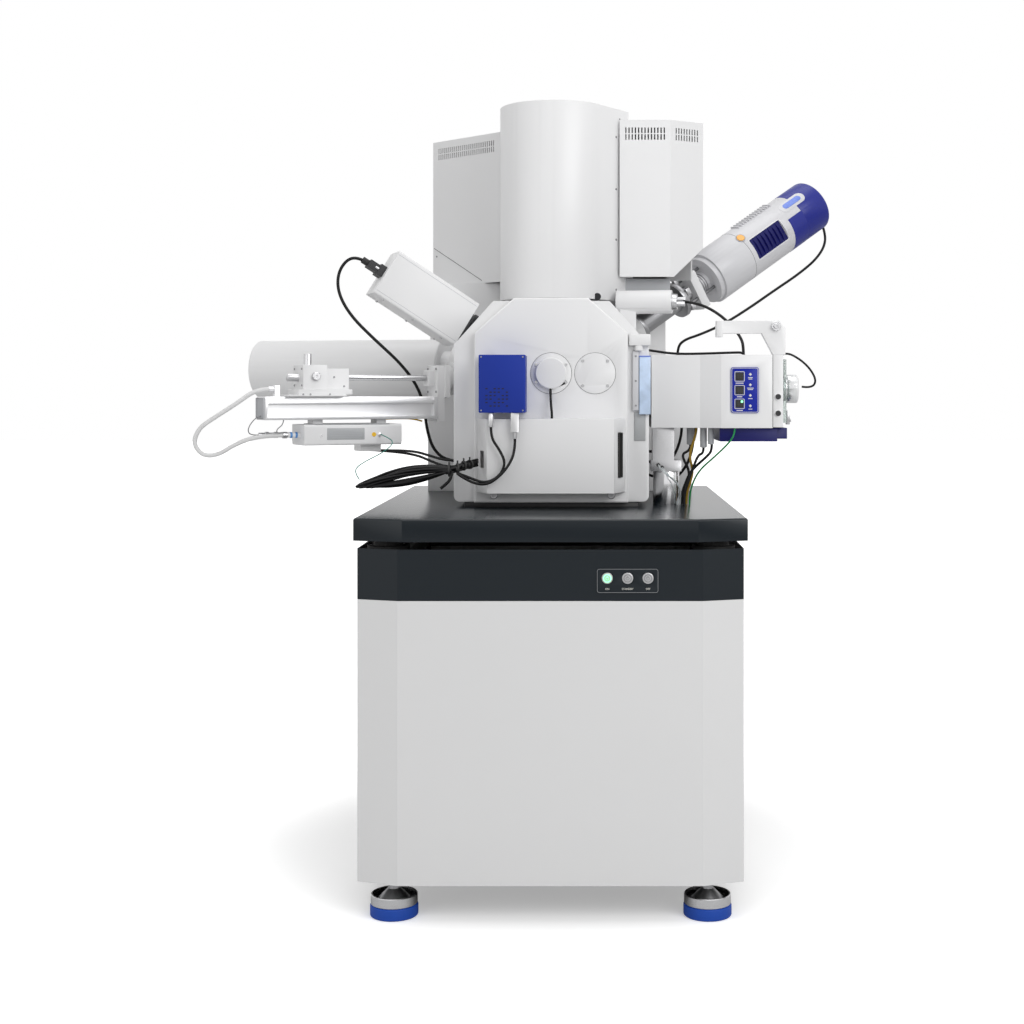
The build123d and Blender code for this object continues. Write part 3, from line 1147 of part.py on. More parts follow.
# Cords: straight runs joined by tangent arcs that are as large as the runs allow
def bend_radii(points):
    """Arc radius at each inner point: 0.45 of the shorter run over the tangent of half the turn."""
    radii = []
    for a, b, c in zip(points, points[1:], points[2:]):
        first = Vector(*b) - Vector(*a)
        second = Vector(*c) - Vector(*b)
        turn = math.radians(first.get_angle(second))
        radii.append(0.45 * min(first.length, second.length) / math.tan(turn / 2))
    return radii


def cord(name, points, d):
    """Tube of one cord along its route."""
    radii = bend_radii(points)
    path = FilletPolyline(*points, radius=radii)
    start = Plane(origin=path @ 0, z_dir=path % 0)
    tube_solid = sweep(start * Circle(d / 2), path=path)
    share = tube_solid.volume / (math.pi * d * d / 4 * path.length)
    print(
        name, "length, least radius, volume share", round(path.length), round(min(radii), 1), round(share, 4),
    )
    parts[name] = [tube_solid]


def port_point(frame, x, y, z):
    """A point given in a port's frame, in the machine's frame."""
    p = frame.from_local_coords(Vector(x, y, z))
    return (p.X, p.Y, p.Z)


hose_exit = port_point(probe_port, HOSE_LUG + 24, 0, fitting_z)
hose_exit_run = port_point(probe_port, HOSE_LUG + 52, 0, fitting_z)
preamp_mid = (preamp_z0 + preamp_z1) / 2
hose_end_run = port_point(probe_port, PREAMP_END + 92, 14, preamp_mid)
hose_end = port_point(probe_port, PREAMP_END + 30, 14, preamp_mid)
cord("probe_hose", [
    hose_exit, hose_exit_run, (-722.0, -354.0, 1056.0), (-772.0, -357.0, 1024.0), (-806.0, -356.0, 1001.0),
    (-820.0, -354.0, 967.0), (-800.0, -352.0, 938.0), (-764.0, -350.0, 939.0), (-722.0, -352.0, 966.0),
    hose_end_run, hose_end,
], HOSE_D)

cable_start = port_point(box_port, box_end + 42, 0, plug_z)
cable_start_run = port_point(box_port, box_end + 66, 0, plug_z)
cord("box_detector_cable", [
    cable_start, cable_start_run, (-497.0, -176.0, 1401.0),
    (-520.0, -178.0, 1366.0), (-519.0, -178.0, 1318.0),
    (-489.0, -177.0, 1264.0), (-432.0, -170.0, 1207.0), (-374.0, -146.0, 1152.0), (-338.0, -118.0, 1100.0),
    (-322.0, -92.0, 1048.0), (-319.0, -68.0, 990.0), (-303.0, -58.0, 938.0), (-268.0, -56.0, 912.0),
    (AXIS_X - CHAMBER_HALF - SEAT, -56.0, 912.0),
], CABLE_D)

xray_start = port_point(xray_port, XRAY_END + XRAY_PLUG / 2, 0, XRAY_PLUG_FOOT)
xray_start_run = port_point(xray_port, XRAY_END + XRAY_PLUG / 2, 0, XRAY_PLUG_FOOT - 32)
cord("xray_cable", [
    xray_start, xray_start_run, (741.0, 455.0, 1497.0), (709.0, 414.0, 1450.0), (652.0, 378.0, 1404.0),
    (584.0, 338.0, 1359.0), (512.0, 305.0, 1309.0), (440.0, 280.0, 1264.0), (377.0, 266.0, 1236.0),
    (334.0, 262.0, 1222.0), (316.0, 262.0, 1203.0), (316.0, 262.0, CHASSIS_LOW_TOP + SEAT),
], XRAY_CABLE_D)

cord("control_cable_left", [
    (socket_x[0], socket_y, plug_foot[0]), (socket_x[0], socket_y, 981.0), (-118.0, -450.0, 955.0),
    (-104.0, -451.0, 925.0), (-119.0, -452.0, 895.0), (-150.0, -454.0, 881.0), (-183.0, -457.0, 893.0),
    (KNOT[0] + 4, -457.0, KNOT[2] - 9),
], THIN_CABLE_D)
cord("control_cable_right", [
    (socket_x[1], socket_y, plug_foot[1]), (socket_x[1], socket_y, 957.0), (-92.0, -456.0, 929.0),
    (-114.0, -464.0, 899.0), (-146.0, -468.0, 877.0),
    (-184.0, -469.0, 885.0), (KNOT[0] + 4, -471.0, KNOT[2] - 9),
], THIN_CABLE_D)

# Tied hank on the left of the door cover: a lean bundle that widens into hanging loops
hank_sections = [
    (KNOT[0], KNOT[1], KNOT[2], 14, 18), (-272.0, -468.0, 917.0, 13, 15), (-330.0, -470.0, 898.0, 18, 22),
    (-381.0, -470.0, 882.0, 20, 25), (-420.0, -468.0, 875.0, 15, 18), (-436.0, -467.0, 874.0, 7, 9),
]
rings = [
    Plane(origin=(x, y, z), x_dir=(0, 1, 0), z_dir=(1, 0, 0)) * Ellipse(half_depth, half_height)
    for x, y, z, half_depth, half_height in hank_sections
]
hank = loft(rings, ruled=True)
lead_z = NOTCH_Z - NOTCH_H / 2 + LEAD_D / 2 + SEAT
lead_end = Vector(AXIS_X - DOOR_COVER_HALF + DOOR_COVER_BEVEL / 2 + 3, bevel_mid_y, lead_z)
knot_back = Vector(KNOT[0] - 10, KNOT[1], KNOT[2] + 7)
lead_dir = lead_end - knot_back
lead_place = Plane(origin=knot_back, z_dir=lead_dir).location * Pos(0, 0, lead_dir.length / 2)
lead = lead_place * Cylinder(LEAD_D / 2, lead_dir.length)
parts["cable_hank"] = [hank + lead]

# The origin is moved under the middle of the rigid parts, on the floor
cords = [n for n in parts if n.endswith(("_cable", "_hose", "_hank"))]
rigid = Compound([s for n, solids in parts.items() if n not in cords for s in solids])
box = rigid.bounding_box()
shift = Pos(-(box.min.X + box.max.X) / 2, -(box.min.Y + box.max.Y) / 2, FLOOR_DROP)
print("origin shift", shift.position)

os.makedirs("parts", exist_ok=True)
for name, solids in parts.items():
    placed = [shift * s for s in solids]
    shape = placed[0] if len(placed) == 1 else Compound(placed)
    export_step(shape, os.path.join("parts", name + ".step"))
print(len(parts), "nodes")
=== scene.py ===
"""Scanning electron microscope on its plinth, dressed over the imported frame."""

import logging
import math
from dataclasses import dataclass, field
from enum import Enum
from typing import Callable, Sequence

import bmesh
import bpy
import numpy as np
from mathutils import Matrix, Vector


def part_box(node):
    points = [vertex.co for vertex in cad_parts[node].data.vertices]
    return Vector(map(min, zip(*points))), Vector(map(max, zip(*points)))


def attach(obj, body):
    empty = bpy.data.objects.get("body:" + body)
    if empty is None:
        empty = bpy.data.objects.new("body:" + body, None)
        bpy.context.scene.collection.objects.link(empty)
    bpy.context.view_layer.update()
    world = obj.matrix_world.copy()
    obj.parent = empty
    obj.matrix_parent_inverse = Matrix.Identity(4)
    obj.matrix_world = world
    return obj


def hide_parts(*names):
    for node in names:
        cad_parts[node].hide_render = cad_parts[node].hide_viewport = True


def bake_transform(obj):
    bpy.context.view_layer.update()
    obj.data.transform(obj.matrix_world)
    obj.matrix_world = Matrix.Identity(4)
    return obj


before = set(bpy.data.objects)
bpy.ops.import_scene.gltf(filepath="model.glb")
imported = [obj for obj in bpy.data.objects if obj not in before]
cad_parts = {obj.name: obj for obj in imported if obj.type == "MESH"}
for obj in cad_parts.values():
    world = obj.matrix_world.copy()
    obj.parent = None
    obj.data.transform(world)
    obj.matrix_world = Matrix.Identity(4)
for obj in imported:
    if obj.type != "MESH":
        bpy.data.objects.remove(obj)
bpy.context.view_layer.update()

log = logging.getLogger("microscope")

Array = np.ndarray
Colour = tuple[float, float, float]

MM = 0.001
TABLE_FRONT_MM = -691.0
TABLE_TOP_MM = 821.0
BEAM_X_MM = -6.0
MACHINE = "machine"
DOOR = "door"
XRAY = "xray_slide"
PROBE = "probe_slide"


class Pattern(Enum):
    """How a finish varies over its surface."""

    ENAMEL = "enamel"
    TURNED = "turned"
    MOULDED = "moulded"


def machine_origin() -> Array:
    """Find the zero point of the machine's axes, from the table slab's box.

    Returns:
        The point in the row frame, in metres.
    """
    low, high = (np.array(corner, float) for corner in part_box("table_top"))
    return np.array([(low[0] + high[0]) / 2, low[1] - TABLE_FRONT_MM * MM, high[2] - TABLE_TOP_MM * MM])


ORIGIN = machine_origin()


def at(x: float, y: float, z: float) -> Array:
    """Turn a point of the machine's own axes, in millimetres, into the row frame in metres."""
    return ORIGIN + np.array([x, y, z], float) * MM


@dataclass(frozen=True)
class Port:
    """Axis of a detector that looks at the beam: x runs out, y across, z square to both.

    Attributes:
        azimuth: degrees from the left side towards the front.
        elevation: degrees above level.
        height: height of the axis at the beam, in millimetres.
    """

    azimuth: float
    elevation: float
    height: float

    def axes(self) -> Array:
        """Give the three unit axes as rows."""
        a, e = math.radians(self.azimuth), math.radians(self.elevation)
        out = np.array([-math.cos(e) * math.cos(a), -math.cos(e) * math.sin(a), math.sin(e)])
        up = np.array([math.sin(e) * math.cos(a), math.sin(e) * math.sin(a), math.cos(e)])
        return np.stack([out, np.cross(up, out), up])

    def place(self, points: Array) -> Array:
        """Carry points from the port's axes, in millimetres, into the row frame.

        Args:
            points: array whose last axis holds x, y and z.

        Returns:
            The same array shape, in metres.
        """
        return at(BEAM_X_MM, 0.0, self.height) + (np.asarray(points, float) @ self.axes()) * MM

    def point(self, x: float, y: float, z: float) -> Array:
        """Carry one point into the row frame."""
        return self.place(np.array([x, y, z], float))


@dataclass(frozen=True)
class Upright:
    """Plain placing frame: the machine's own axes moved to a corner point in millimetres."""

    x: float = 0.0
    y: float = 0.0
    z: float = 0.0

    def place(self, points: Array) -> Array:
        """Carry points in millimetres into the row frame."""
        return at(self.x, self.y, self.z) + np.asarray(points, float) * MM


Place = Callable[[Array], Array]
PROBE_PORT = Port(27.0, 0.0, 1116.0)
BOX_PORT = Port(20.0, 32.0, 1096.0)
XRAY_PORT = Port(180.0 + 32.1, 31.4, 1096.0)
TUBE_PORT = Port(180.0 - 10.0, 0.0, 1305.0)
BODY = Upright()


# Meshes

def new_mesh(name: str, vertices: Array, faces: Sequence[Sequence[int]],
             smooth: bool = True) -> bpy.types.Object:
    """Make an object from vertices in the row frame and faces that index them.

    Args:
        name: piece name.
        vertices: (n, 3) array in metres.
        faces: index tuples, turned outwards afterwards.
        smooth: whether the faces are shaded smooth.

    Returns:
        The linked object at the origin.
    """
    mesh = bpy.data.meshes.new(name)
    mesh.from_pydata(np.asarray(vertices, float).tolist(), [], [list(map(int, f)) for f in faces])
    mesh.update()
    turn_outwards(mesh)
    mesh.polygons.foreach_set("use_smooth", np.full(len(mesh.polygons), smooth))
    piece = bpy.data.objects.new(name, mesh)
    bpy.context.scene.collection.objects.link(piece)
    return piece


def turn_outwards(mesh: bpy.types.Mesh) -> None:
    """Merge doubles and make every shell's faces point outwards."""
    work = bmesh.new()
    work.from_mesh(mesh)
    bmesh.ops.remove_doubles(work, verts=work.verts, dist=1e-7)
    bmesh.ops.recalc_face_normals(work, faces=work.faces)
    work.to_mesh(mesh)
    work.free()


Shell = tuple[Array, list]


def grid_shell(points: Array, wrap_u: bool, wrap_v: bool, caps: bool) -> Shell:
    """Join a grid of points into quads, face (i, j) taking corners i, i+1 and j, j+1.

    Args:
        points: (u, v, 3) array of positions.
        wrap_u: whether the last row joins the first.
        wrap_v: whether the last column joins the first.
        caps: whether the first and last row are closed by one face each.

    Returns:
        Vertices and faces.
    """
    nu, nv = points.shape[:2]
    i = np.arange(nu if wrap_u else nu - 1)
    j = np.arange(nv if wrap_v else nv - 1)
    ii, jj = np.meshgrid(i, j, indexing="ij")
    up, right = (ii + 1) % nu, (jj + 1) % nv
    quads = np.stack([ii * nv + jj, up * nv + jj, up * nv + right, ii * nv + right], -1).reshape(-1, 4)
    faces = quads.tolist()
    if caps:
        faces.append(list(range(nv))[::-1])
        faces.append([(nu - 1) * nv + k for k in range(nv)])
    return points.reshape(-1, 3), faces


def join_shells(shells: Sequence[Shell]) -> Shell:
    """Put several shells into one list of vertices and faces."""
    vertices, faces, count = [], [], 0
    for points, local in shells:
        vertices.append(np.asarray(points, float))
        faces.extend([[k + count for k in f] for f in local])
        count += len(points)
    return np.concatenate(vertices), faces


def spin(profile: Sequence[tuple[float, float]], segments: int = 40) -> Shell:
    """Turn a profile of (distance along x, radius) about the x axis: y = r cos t, z = r sin t."""
    outline = np.array(profile, float)
    t = np.linspace(0, 2 * np.pi, segments, endpoint=False)
    x = np.repeat(outline[:, :1], segments, axis=1)
    y = outline[:, 1:] * np.cos(t)
    z = outline[:, 1:] * np.sin(t)
    return grid_shell(np.stack([x, y, z], -1), False, True, True)


def rounded_rectangle(w: float, h: float, r: float, steps: int = 5) -> Array:
    """Outline of a w by h rectangle whose corners are quarter circles of radius r."""
    q = np.linspace(0, np.pi / 2, steps)
    x, y = w / 2 - r, h / 2 - r
    arcs = []
    for k, (cx, cy) in enumerate(((x, y), (-x, y), (-x, -y), (x, -y))):
        t = q + k * np.pi / 2
        arcs.append(np.stack([cx + r * np.cos(t), cy + r * np.sin(t)], -1))
    return np.concatenate(arcs)


def cushion_block(size: tuple[float, float, float], r: float, edge: float) -> Shell:
    """Block with rounded upright corners and bevelled rims, centred, as scaled outlines stacked in z.

    Args:
        size: width, depth and height in millimetres.
        r: radius of the upright corners.
        edge: bevel of the top and bottom rims.

    Returns:
        Vertices and faces.
    """
    w, d, h = size
    levels = [(-h / 2, edge), (-h / 2 + edge * 0.3, edge * 0.3), (-h / 2 + edge, 0.0),
              (h / 2 - edge, 0.0), (h / 2 - edge * 0.3, edge * 0.3), (h / 2, edge)]
    rows = []
    for z, inset in levels:
        ring = rounded_rectangle(w - 2 * inset, d - 2 * inset, max(r - inset, 0.05))
        rows.append(np.column_stack([ring, np.full(len(ring), z)]))
    return grid_shell(np.stack(rows), False, True, True)


def moved(shell: Shell, x: float = 0.0, y: float = 0.0, z: float = 0.0, turn: Array | None = None) -> Shell:
    """Turn a shell by a 3 by 3 matrix whose rows are its new axes, then move it."""
    points = shell[0] if turn is None else shell[0] @ turn
    return points + np.array([x, y, z]), shell[1]


AXIS_X_TO_SIDE = np.array([[0, 1, 0], [-1, 0, 0], [0, 0, 1]], float)
AXIS_X_TO_Z = np.array([[0, 0, 1], [0, 1, 0], [-1, 0, 0]], float)
AXIS_X_TO_FRONT = np.array([[0, -1, 0], [1, 0, 0], [0, 0, 1]], float)
AXIS_X_TO_UNDER = np.array([[0, 0, -1], [0, 1, 0], [1, 0, 0]], float)
FACE_FRONT = np.array([[1, 0, 0], [0, 0, 1], [0, -1, 0]], float)
FACE_SIDE = np.array([[1, 0, 0], [0, 0, 1], [0, 1, 0]], float)


def piece(name: str, shells: Sequence[Shell], finish: "Finish", body: str = MACHINE,
          place: Place = BODY.place) -> bpy.types.Object:
    """Make one piece from shells, put it in place, dress it and let it ride.

    Args:
        name: piece name.
        shells: parts of the piece in local millimetres.
        finish: surface finish.
        body: body that the piece moves with.
        place: carries local points into the row frame.

    Returns:
        The finished object.
    """
    points, faces = join_shells(shells)
    made = new_mesh(name, place(points), faces)
    mark_edges(made)
    made.data.materials.append(finish.material())
    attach(made, body)
    log.info("piece %s with %d faces", name, len(made.data.polygons))
    return made


def mark_edges(made: bpy.types.Object, angle: float = 32.0) -> None:
    """Shade the piece smooth except where two faces meet at more than the angle, in degrees."""
    made.data.set_sharp_from_angle(angle=math.radians(angle))


# Finishes

def link_chain(tree: bpy.types.NodeTree, *pairs: tuple) -> None:
    """Link each (output, input) pair."""
    for source, target in pairs:
        tree.links.new(source, target)


def set_sockets(node: bpy.types.Node, values: dict) -> None:
    """Set the inputs of a node, by name or number."""
    for socket, value in values.items():
        node.inputs[socket].default_value = value


def add_node(tree: bpy.types.NodeTree, kind: str, operation: str = "",
             values: dict | None = None) -> bpy.types.Node:
    """Add one shader node.

    Args:
        tree: tree that the node goes into.
        kind: node type, without the word ShaderNode.
        operation: operation of a math node.
        values: inputs to set.

    Returns:
        The node.
    """
    node = tree.nodes.new("ShaderNode" + kind)
    if operation:
        node.operation = operation
    set_sockets(node, values or {})
    return node


def surface_group() -> bpy.types.NodeTree:
    """Build once the group that mottles a colour, spreads roughness and roughens the normal.

    Two noises on Object coordinates: a broad one shifts the tone, a fine one gives the grain.

    Returns:
        The node group with outputs Colour, Roughness and Normal.
    """
    name = "surface_grain"
    if name in bpy.data.node_groups:
        return bpy.data.node_groups[name]
    group = bpy.data.node_groups.new(name, "ShaderNodeTree")
    face = group.interface
    for label, kind, default in (
        ("Colour", "NodeSocketColor", (0.8, 0.8, 0.8, 1)), ("Tone", "NodeSocketFloat", 0.03),
        ("Broad Scale", "NodeSocketFloat", 4.0), ("Grain Scale", "NodeSocketFloat", 900.0),
        ("Roughness", "NodeSocketFloat", 0.4), ("Spread", "NodeSocketFloat", 0.05),
        ("Bump", "NodeSocketFloat", 0.1), ("Stretch", "NodeSocketVector", (1, 1, 1)),
    ):
        face.new_socket(label, in_out="INPUT", socket_type=kind).default_value = default
    for label, kind in (("Colour", "NodeSocketColor"), ("Roughness", "NodeSocketFloat"),
                        ("Normal", "NodeSocketVector")):
        face.new_socket(label, in_out="OUTPUT", socket_type=kind)
    entry, out = group.nodes.new("NodeGroupInput"), group.nodes.new("NodeGroupOutput")
    coords = add_node(group, "TexCoord")
    stretch = add_node(group, "VectorMath", "MULTIPLY")
    broad = add_node(group, "TexNoise", values={"Detail": 3})
    grain = add_node(group, "TexNoise", values={"Detail": 2})
    shift = add_node(group, "Math", "SUBTRACT", {1: 0.5})
    tone = add_node(group, "Math", "MULTIPLY_ADD", {2: 1.0})
    colour = add_node(group, "VectorMath", "SCALE")
    rough = add_node(group, "Math", "MULTIPLY_ADD")
    bump = add_node(group, "Bump", values={"Distance": 0.0004})
    link_chain(
        group,
        (coords.outputs["Object"], stretch.inputs[0]), (entry.outputs["Stretch"], stretch.inputs[1]),
        (coords.outputs["Object"], broad.inputs["Vector"]), (stretch.outputs[0], grain.inputs["Vector"]),
        (entry.outputs["Broad Scale"], broad.inputs["Scale"]), (entry.outputs["Grain Scale"],
                                                                grain.inputs["Scale"]),
        (broad.outputs["Fac"], shift.inputs[0]), (shift.outputs[0], tone.inputs[0]),
        (entry.outputs["Tone"], tone.inputs[1]), (entry.outputs["Colour"], colour.inputs[0]),
        (tone.outputs[0], colour.inputs["Scale"]), (colour.outputs[0], out.inputs["Colour"]),
        (grain.outputs["Fac"], rough.inputs[0]), (entry.outputs["Spread"], rough.inputs[1]),
        (entry.outputs["Roughness"], rough.inputs[2]), (rough.outputs[0], out.inputs["Roughness"]),
        (grain.outputs["Fac"], bump.inputs["Height"]), (entry.outputs["Bump"], bump.inputs["Strength"]),
        (bump.outputs["Normal"], out.inputs["Normal"]),
    )
    return group


@dataclass(frozen=True)
class Finish:
    """Surface finish of one kind of piece.

    Attributes:
        name: material name.
        colour: linear base colour.
        rough: lowest roughness.
        metal: whether the surface is bare metal.
        pattern: how the surface varies.
        tone: depth of the broad colour change.
        grain: size of the fine grain, as a noise scale.
        bump: strength of the grain's relief.
        coat: clear coat weight.
        glow: emission strength of a lit surface.
        clear: transmission weight of a see-through surface.
        stretch: grain direction, as a scale along each axis.
        broad: scale of the broad colour change.
        shine: specular level.
    """

    name: str
    colour: Colour
    rough: float = 0.35
    metal: bool = False
    pattern: Pattern = Pattern.ENAMEL
    tone: float = 0.03
    grain: float = 700.0
    bump: float = 0.08
    coat: float = 0.0
    glow: float = 0.0
    clear: float = 0.0
    stretch: Colour = (1.0, 1.0, 1.0)
    broad: float = 4.0
    shine: float = 0.5

    def material(self) -> bpy.types.Material:
        """Give the finish's material, built on first use."""
        if self.name in bpy.data.materials:
            return bpy.data.materials[self.name]
        made = bpy.data.materials.new(self.name)
        made.use_nodes = True
        tree = made.node_tree
        shader = tree.nodes["Principled BSDF"]
        grain = tree.nodes.new("ShaderNodeGroup")
        grain.node_tree = surface_group()
        spread = 0.12 if self.pattern is Pattern.TURNED else 0.06
        shine = self.shine * (0.5 if self.pattern is Pattern.MOULDED else 1.0)
        set_sockets(grain, {
            "Colour": (*self.colour, 1), "Tone": self.tone, "Grain Scale": self.grain,
            "Roughness": self.rough,
            "Spread": spread, "Bump": self.bump, "Stretch": self.stretch, "Broad Scale": self.broad,
        })
        set_sockets(shader, {
            "Metallic": float(self.metal), "Coat Weight": self.coat, "Coat Roughness": 0.12,
            "Transmission Weight": self.clear, "Specular IOR Level": shine,
        })
        if self.glow:
            set_sockets(shader, {"Emission Color": (*self.colour, 1), "Emission Strength": self.glow})
        link_chain(
            tree,
            (grain.outputs["Colour"], shader.inputs["Base Color"]),
            (grain.outputs["Roughness"], shader.inputs["Roughness"]),
            (grain.outputs["Normal"], shader.inputs["Normal"]),
        )
        return made


WHITE = Finish("white_enamel", (0.80, 0.80, 0.805), rough=0.34, tone=0.012, coat=0.0)
GREY_PANEL = Finish("light_grey_panel", (0.71, 0.71, 0.712), rough=0.42, tone=0.02, bump=0.15)
ANTHRACITE = Finish("anthracite_band", (0.006, 0.010, 0.014), shine=0.28, rough=0.4, tone=0.06, bump=0.12)
TABLE_DARK = Finish("table_slab", (0.006, 0.010, 0.014), shine=0.3, rough=0.2, tone=0.08, bump=0.1)
BLUE = Finish("blue_enamel", (0.006, 0.030, 0.30), shine=0.3, rough=0.42, tone=0.05)
PANEL_BLUE = Finish("panel_foil_blue", (0.004, 0.016, 0.32), shine=0.3, rough=0.3, tone=0.03)
NAVY = Finish("navy_enamel", (0.003, 0.004, 0.10), shine=0.3, rough=0.35, tone=0.05)
PAD_BLUE = Finish("blue_pad_rubber", (0.012, 0.065, 0.38), rough=0.5, tone=0.08, pattern=Pattern.MOULDED,
                  bump=0.2)
SILVER = Finish("silver_enamel", (0.64, 0.64, 0.66), rough=0.33, tone=0.02, coat=0.1)
CAP_BLUE = Finish("cap_blue", (0.012, 0.020, 0.24), shine=0.4, rough=0.3, tone=0.04)
STEEL = Finish("turned_steel", (0.55, 0.55, 0.56), rough=0.22, metal=True, pattern=Pattern.TURNED,
               tone=0.06,
               grain=300.0, bump=0.05, stretch=(1.0, 1.0, 14.0))
GREY_STEEL = Finish("grey_steel", (0.33, 0.33, 0.34), rough=0.32, metal=True, pattern=Pattern.TURNED,
                    tone=0.08,
                    grain=400.0, bump=0.05, stretch=(1.0, 1.0, 12.0))
ALUMINIUM = Finish("machined_aluminium", (0.70, 0.70, 0.71), rough=0.3, metal=True, pattern=Pattern.TURNED,
                   tone=0.04,
                   grain=350.0, bump=0.06, stretch=(12.0, 1.0, 1.0))
BLACK = Finish("black_plastic", (0.006, 0.006, 0.007), rough=0.42, tone=0.1, pattern=Pattern.MOULDED,
               bump=0.15)
FRAME_BLACK = Finish("black_frame_enamel", (0.02, 0.02, 0.021), rough=0.45, tone=0.08)
CABLE = Finish("cable_jacket", (0.004, 0.004, 0.0045), rough=0.46, tone=0.15, pattern=Pattern.MOULDED,
               grain=900.0)
HOSE = Finish("hose_plastic", (0.72, 0.72, 0.72), rough=0.4, tone=0.05, pattern=Pattern.MOULDED)
LABEL = Finish("grey_sleeve", (0.45, 0.46, 0.48), rough=0.5, tone=0.06)
LIT_GREEN = Finish("lit_green", (0.25, 1.0, 0.45), rough=0.4, glow=1.6)
RUBBER = Finish("black_rubber", (0.008, 0.008, 0.008), rough=0.6, tone=0.1, pattern=Pattern.MOULDED,
                bump=0.3)
DARK_GREY = Finish("dark_grey_plastic", (0.05, 0.05, 0.052), rough=0.5, tone=0.08, pattern=Pattern.MOULDED)
SEAM = Finish("seam_shadow", (0.10, 0.10, 0.105), rough=0.7, tone=0.05)
CREAM = Finish("cream_print", (0.75, 0.74, 0.68), rough=0.5, tone=0.03)
PRINT_GREY = Finish("grey_print", (0.22, 0.23, 0.24), rough=0.5, tone=0.03)
CHROME = Finish("chrome", (0.75, 0.75, 0.76), rough=0.1, metal=True, pattern=Pattern.TURNED, tone=0.03,
                bump=0.02)
BRIGHT_GREY = Finish("bright_grey_plate", (0.42, 0.43, 0.44), rough=0.38, tone=0.08)
FILM = Finish("blue_film", (0.55, 0.68, 0.88), rough=0.16, tone=0.7, coat=0.6, bump=0.5, grain=60.0,
              broad=38.0)
YELLOW = Finish("yellow_mark", (0.85, 0.50, 0.02), rough=0.4, tone=0.05)
ORANGE = Finish("amber_button", (0.88, 0.42, 0.06), rough=0.3, tone=0.05, coat=0.4)
PALE_BLUE = Finish("pale_blue_insert", (0.16, 0.25, 0.72), rough=0.3, tone=0.04)
CLEAR = Finish("clear_plastic", (0.86, 0.95, 0.92), rough=0.06, tone=0.02, bump=0.02, clear=0.85)
GREEN_WIRE = Finish("green_wire", (0.01, 0.22, 0.06), rough=0.4, tone=0.1, pattern=Pattern.MOULDED)
TEAL_WIRE = Finish("teal_wire", (0.03, 0.20, 0.16), rough=0.4, tone=0.1, pattern=Pattern.MOULDED)
YELLOW_WIRE = Finish("ochre_wire", (0.33, 0.20, 0.02), rough=0.4, tone=0.1, pattern=Pattern.MOULDED)
GREY_WIRE = Finish("grey_wire", (0.30, 0.30, 0.31), rough=0.4, tone=0.1, pattern=Pattern.MOULDED)
CLEAR_TUBE = Finish("clear_tube", (0.80, 0.84, 0.85), rough=0.12, tone=0.03, clear=0.6)
BLUE_BAND = Finish("blue_band", (0.10, 0.28, 0.62), rough=0.4, tone=0.05)
# Painted shade: near-black for the shade inside vent slots and the column's notch.
HOLLOW_SHADE = Finish("painted_hollow_shade", (0.004, 0.004, 0.006), rough=0.7, tone=0.1)

NODE_FINISHES: dict[str, tuple[Finish, float]] = {
    "foot_pads": (PAD_BLUE, 0.0), "foot_cups": (STEEL, 0.0), "foot_stems": (GREY_STEEL, 0.8),
    "plinth_frame": (FRAME_BLACK, 1.0), "front_panel": (GREY_PANEL, 0.0),
    "cabinet_panels": (GREY_PANEL, 0.0),
    "control_band": (ANTHRACITE, 0.0), "button_bezel": (ANTHRACITE, 0.3), "on_button": (STEEL, 0.4),
    "standby_button": (STEEL, 0.4), "off_button": (STEEL, 0.4), "table_top": (TABLE_DARK, 0.8),
    "isolators": (BLACK, 1.0), "electronics_rack": (FRAME_BLACK, 0.0), "chamber_body": (WHITE, 1.5),
    # chamber_base is dressed black as painted shade: it stands in for the shadow under the chamber.
    "chamber_base": (FRAME_BLACK, 1.0), "door_plate": (WHITE, 0.8), "door_cover": (WHITE, 0.8),
    "door_grip": (BLACK, 0.4), "door_camera": (WHITE, 0.5), "blank_flange": (WHITE, 0.6),
    "door_control_box": (BLUE, 0.8), "door_guides": (STEEL, 0.8), "stage_base": (ALUMINIUM, 0.8),
    "stage_x": (ALUMINIUM, 0.6), "stage_y": (ALUMINIUM, 0.6), "stage_z": (ALUMINIUM, 0.6),
    "stage_tilt": (ALUMINIUM, 0.5), "stage_rotation": (STEEL, 0.4), "column_cover": (WHITE, 1.2),
    "left_rear_cover": (WHITE, 0.0), "right_rear_cover": (WHITE, 0.0), "rear_chassis": (WHITE, 1.5),
    "beam_column": (STEEL, 1.0), "objective_lens": (STEEL, 0.8), "turbo_pump": (ALUMINIUM, 1.0),
    "side_detector": (WHITE, 0.8), "probe_port": (WHITE, 0.8), "probe_rail": (ALUMINIUM, 0.6),
    "probe_carriage": (WHITE, 0.8), "probe_preamp": (WHITE, 0.6), "box_detector": (WHITE, 0.8),
    "airlock_box": (WHITE, 1.0), "airlock_panel": (PANEL_BLUE, 0.3), "airlock_key_top": (BLACK, 0.5),
    "airlock_key_middle": (BLACK, 0.5), "airlock_key_bottom": (BLACK, 0.5), "airlock_camera": (WHITE, 0.8),
    "airlock_drive_box": (NAVY, 1.0), "airlock_stand": (STEEL, 0.8), "xray_mount": (GREY_STEEL, 0.6),
    "xray_body": (SILVER, 0.8), "xray_cap": (CAP_BLUE, 0.8), "tube_detector": (WHITE, 0.6),
    "xray_plate": (WHITE, 0.8), "xray_louvre": (NAVY, 0.0),
}


@dataclass(frozen=True)
class Zone:
    """Part of a CAD node that has a finish of its own.

    Attributes:
        finish: surface finish of the zone.
        low: lower corner in the axes of the place, in millimetres.
        high: upper corner.
        port: detector axes that the corners are in, or None for the machine's own.
    """

    finish: Finish
    low: Colour
    high: Colour
    port: Port | None = None

    def mask(self, centres: Array) -> Array:
        """Tell which face centres, given in the row frame, lie in the zone."""
        if self.port:
            local = (centres - at(BEAM_X_MM, 0.0, self.port.height)) / MM @ self.port.axes().T
        else:
            local = (centres - ORIGIN) / MM
        return np.all((local > np.array(self.low)) & (local < np.array(self.high)), axis=1)


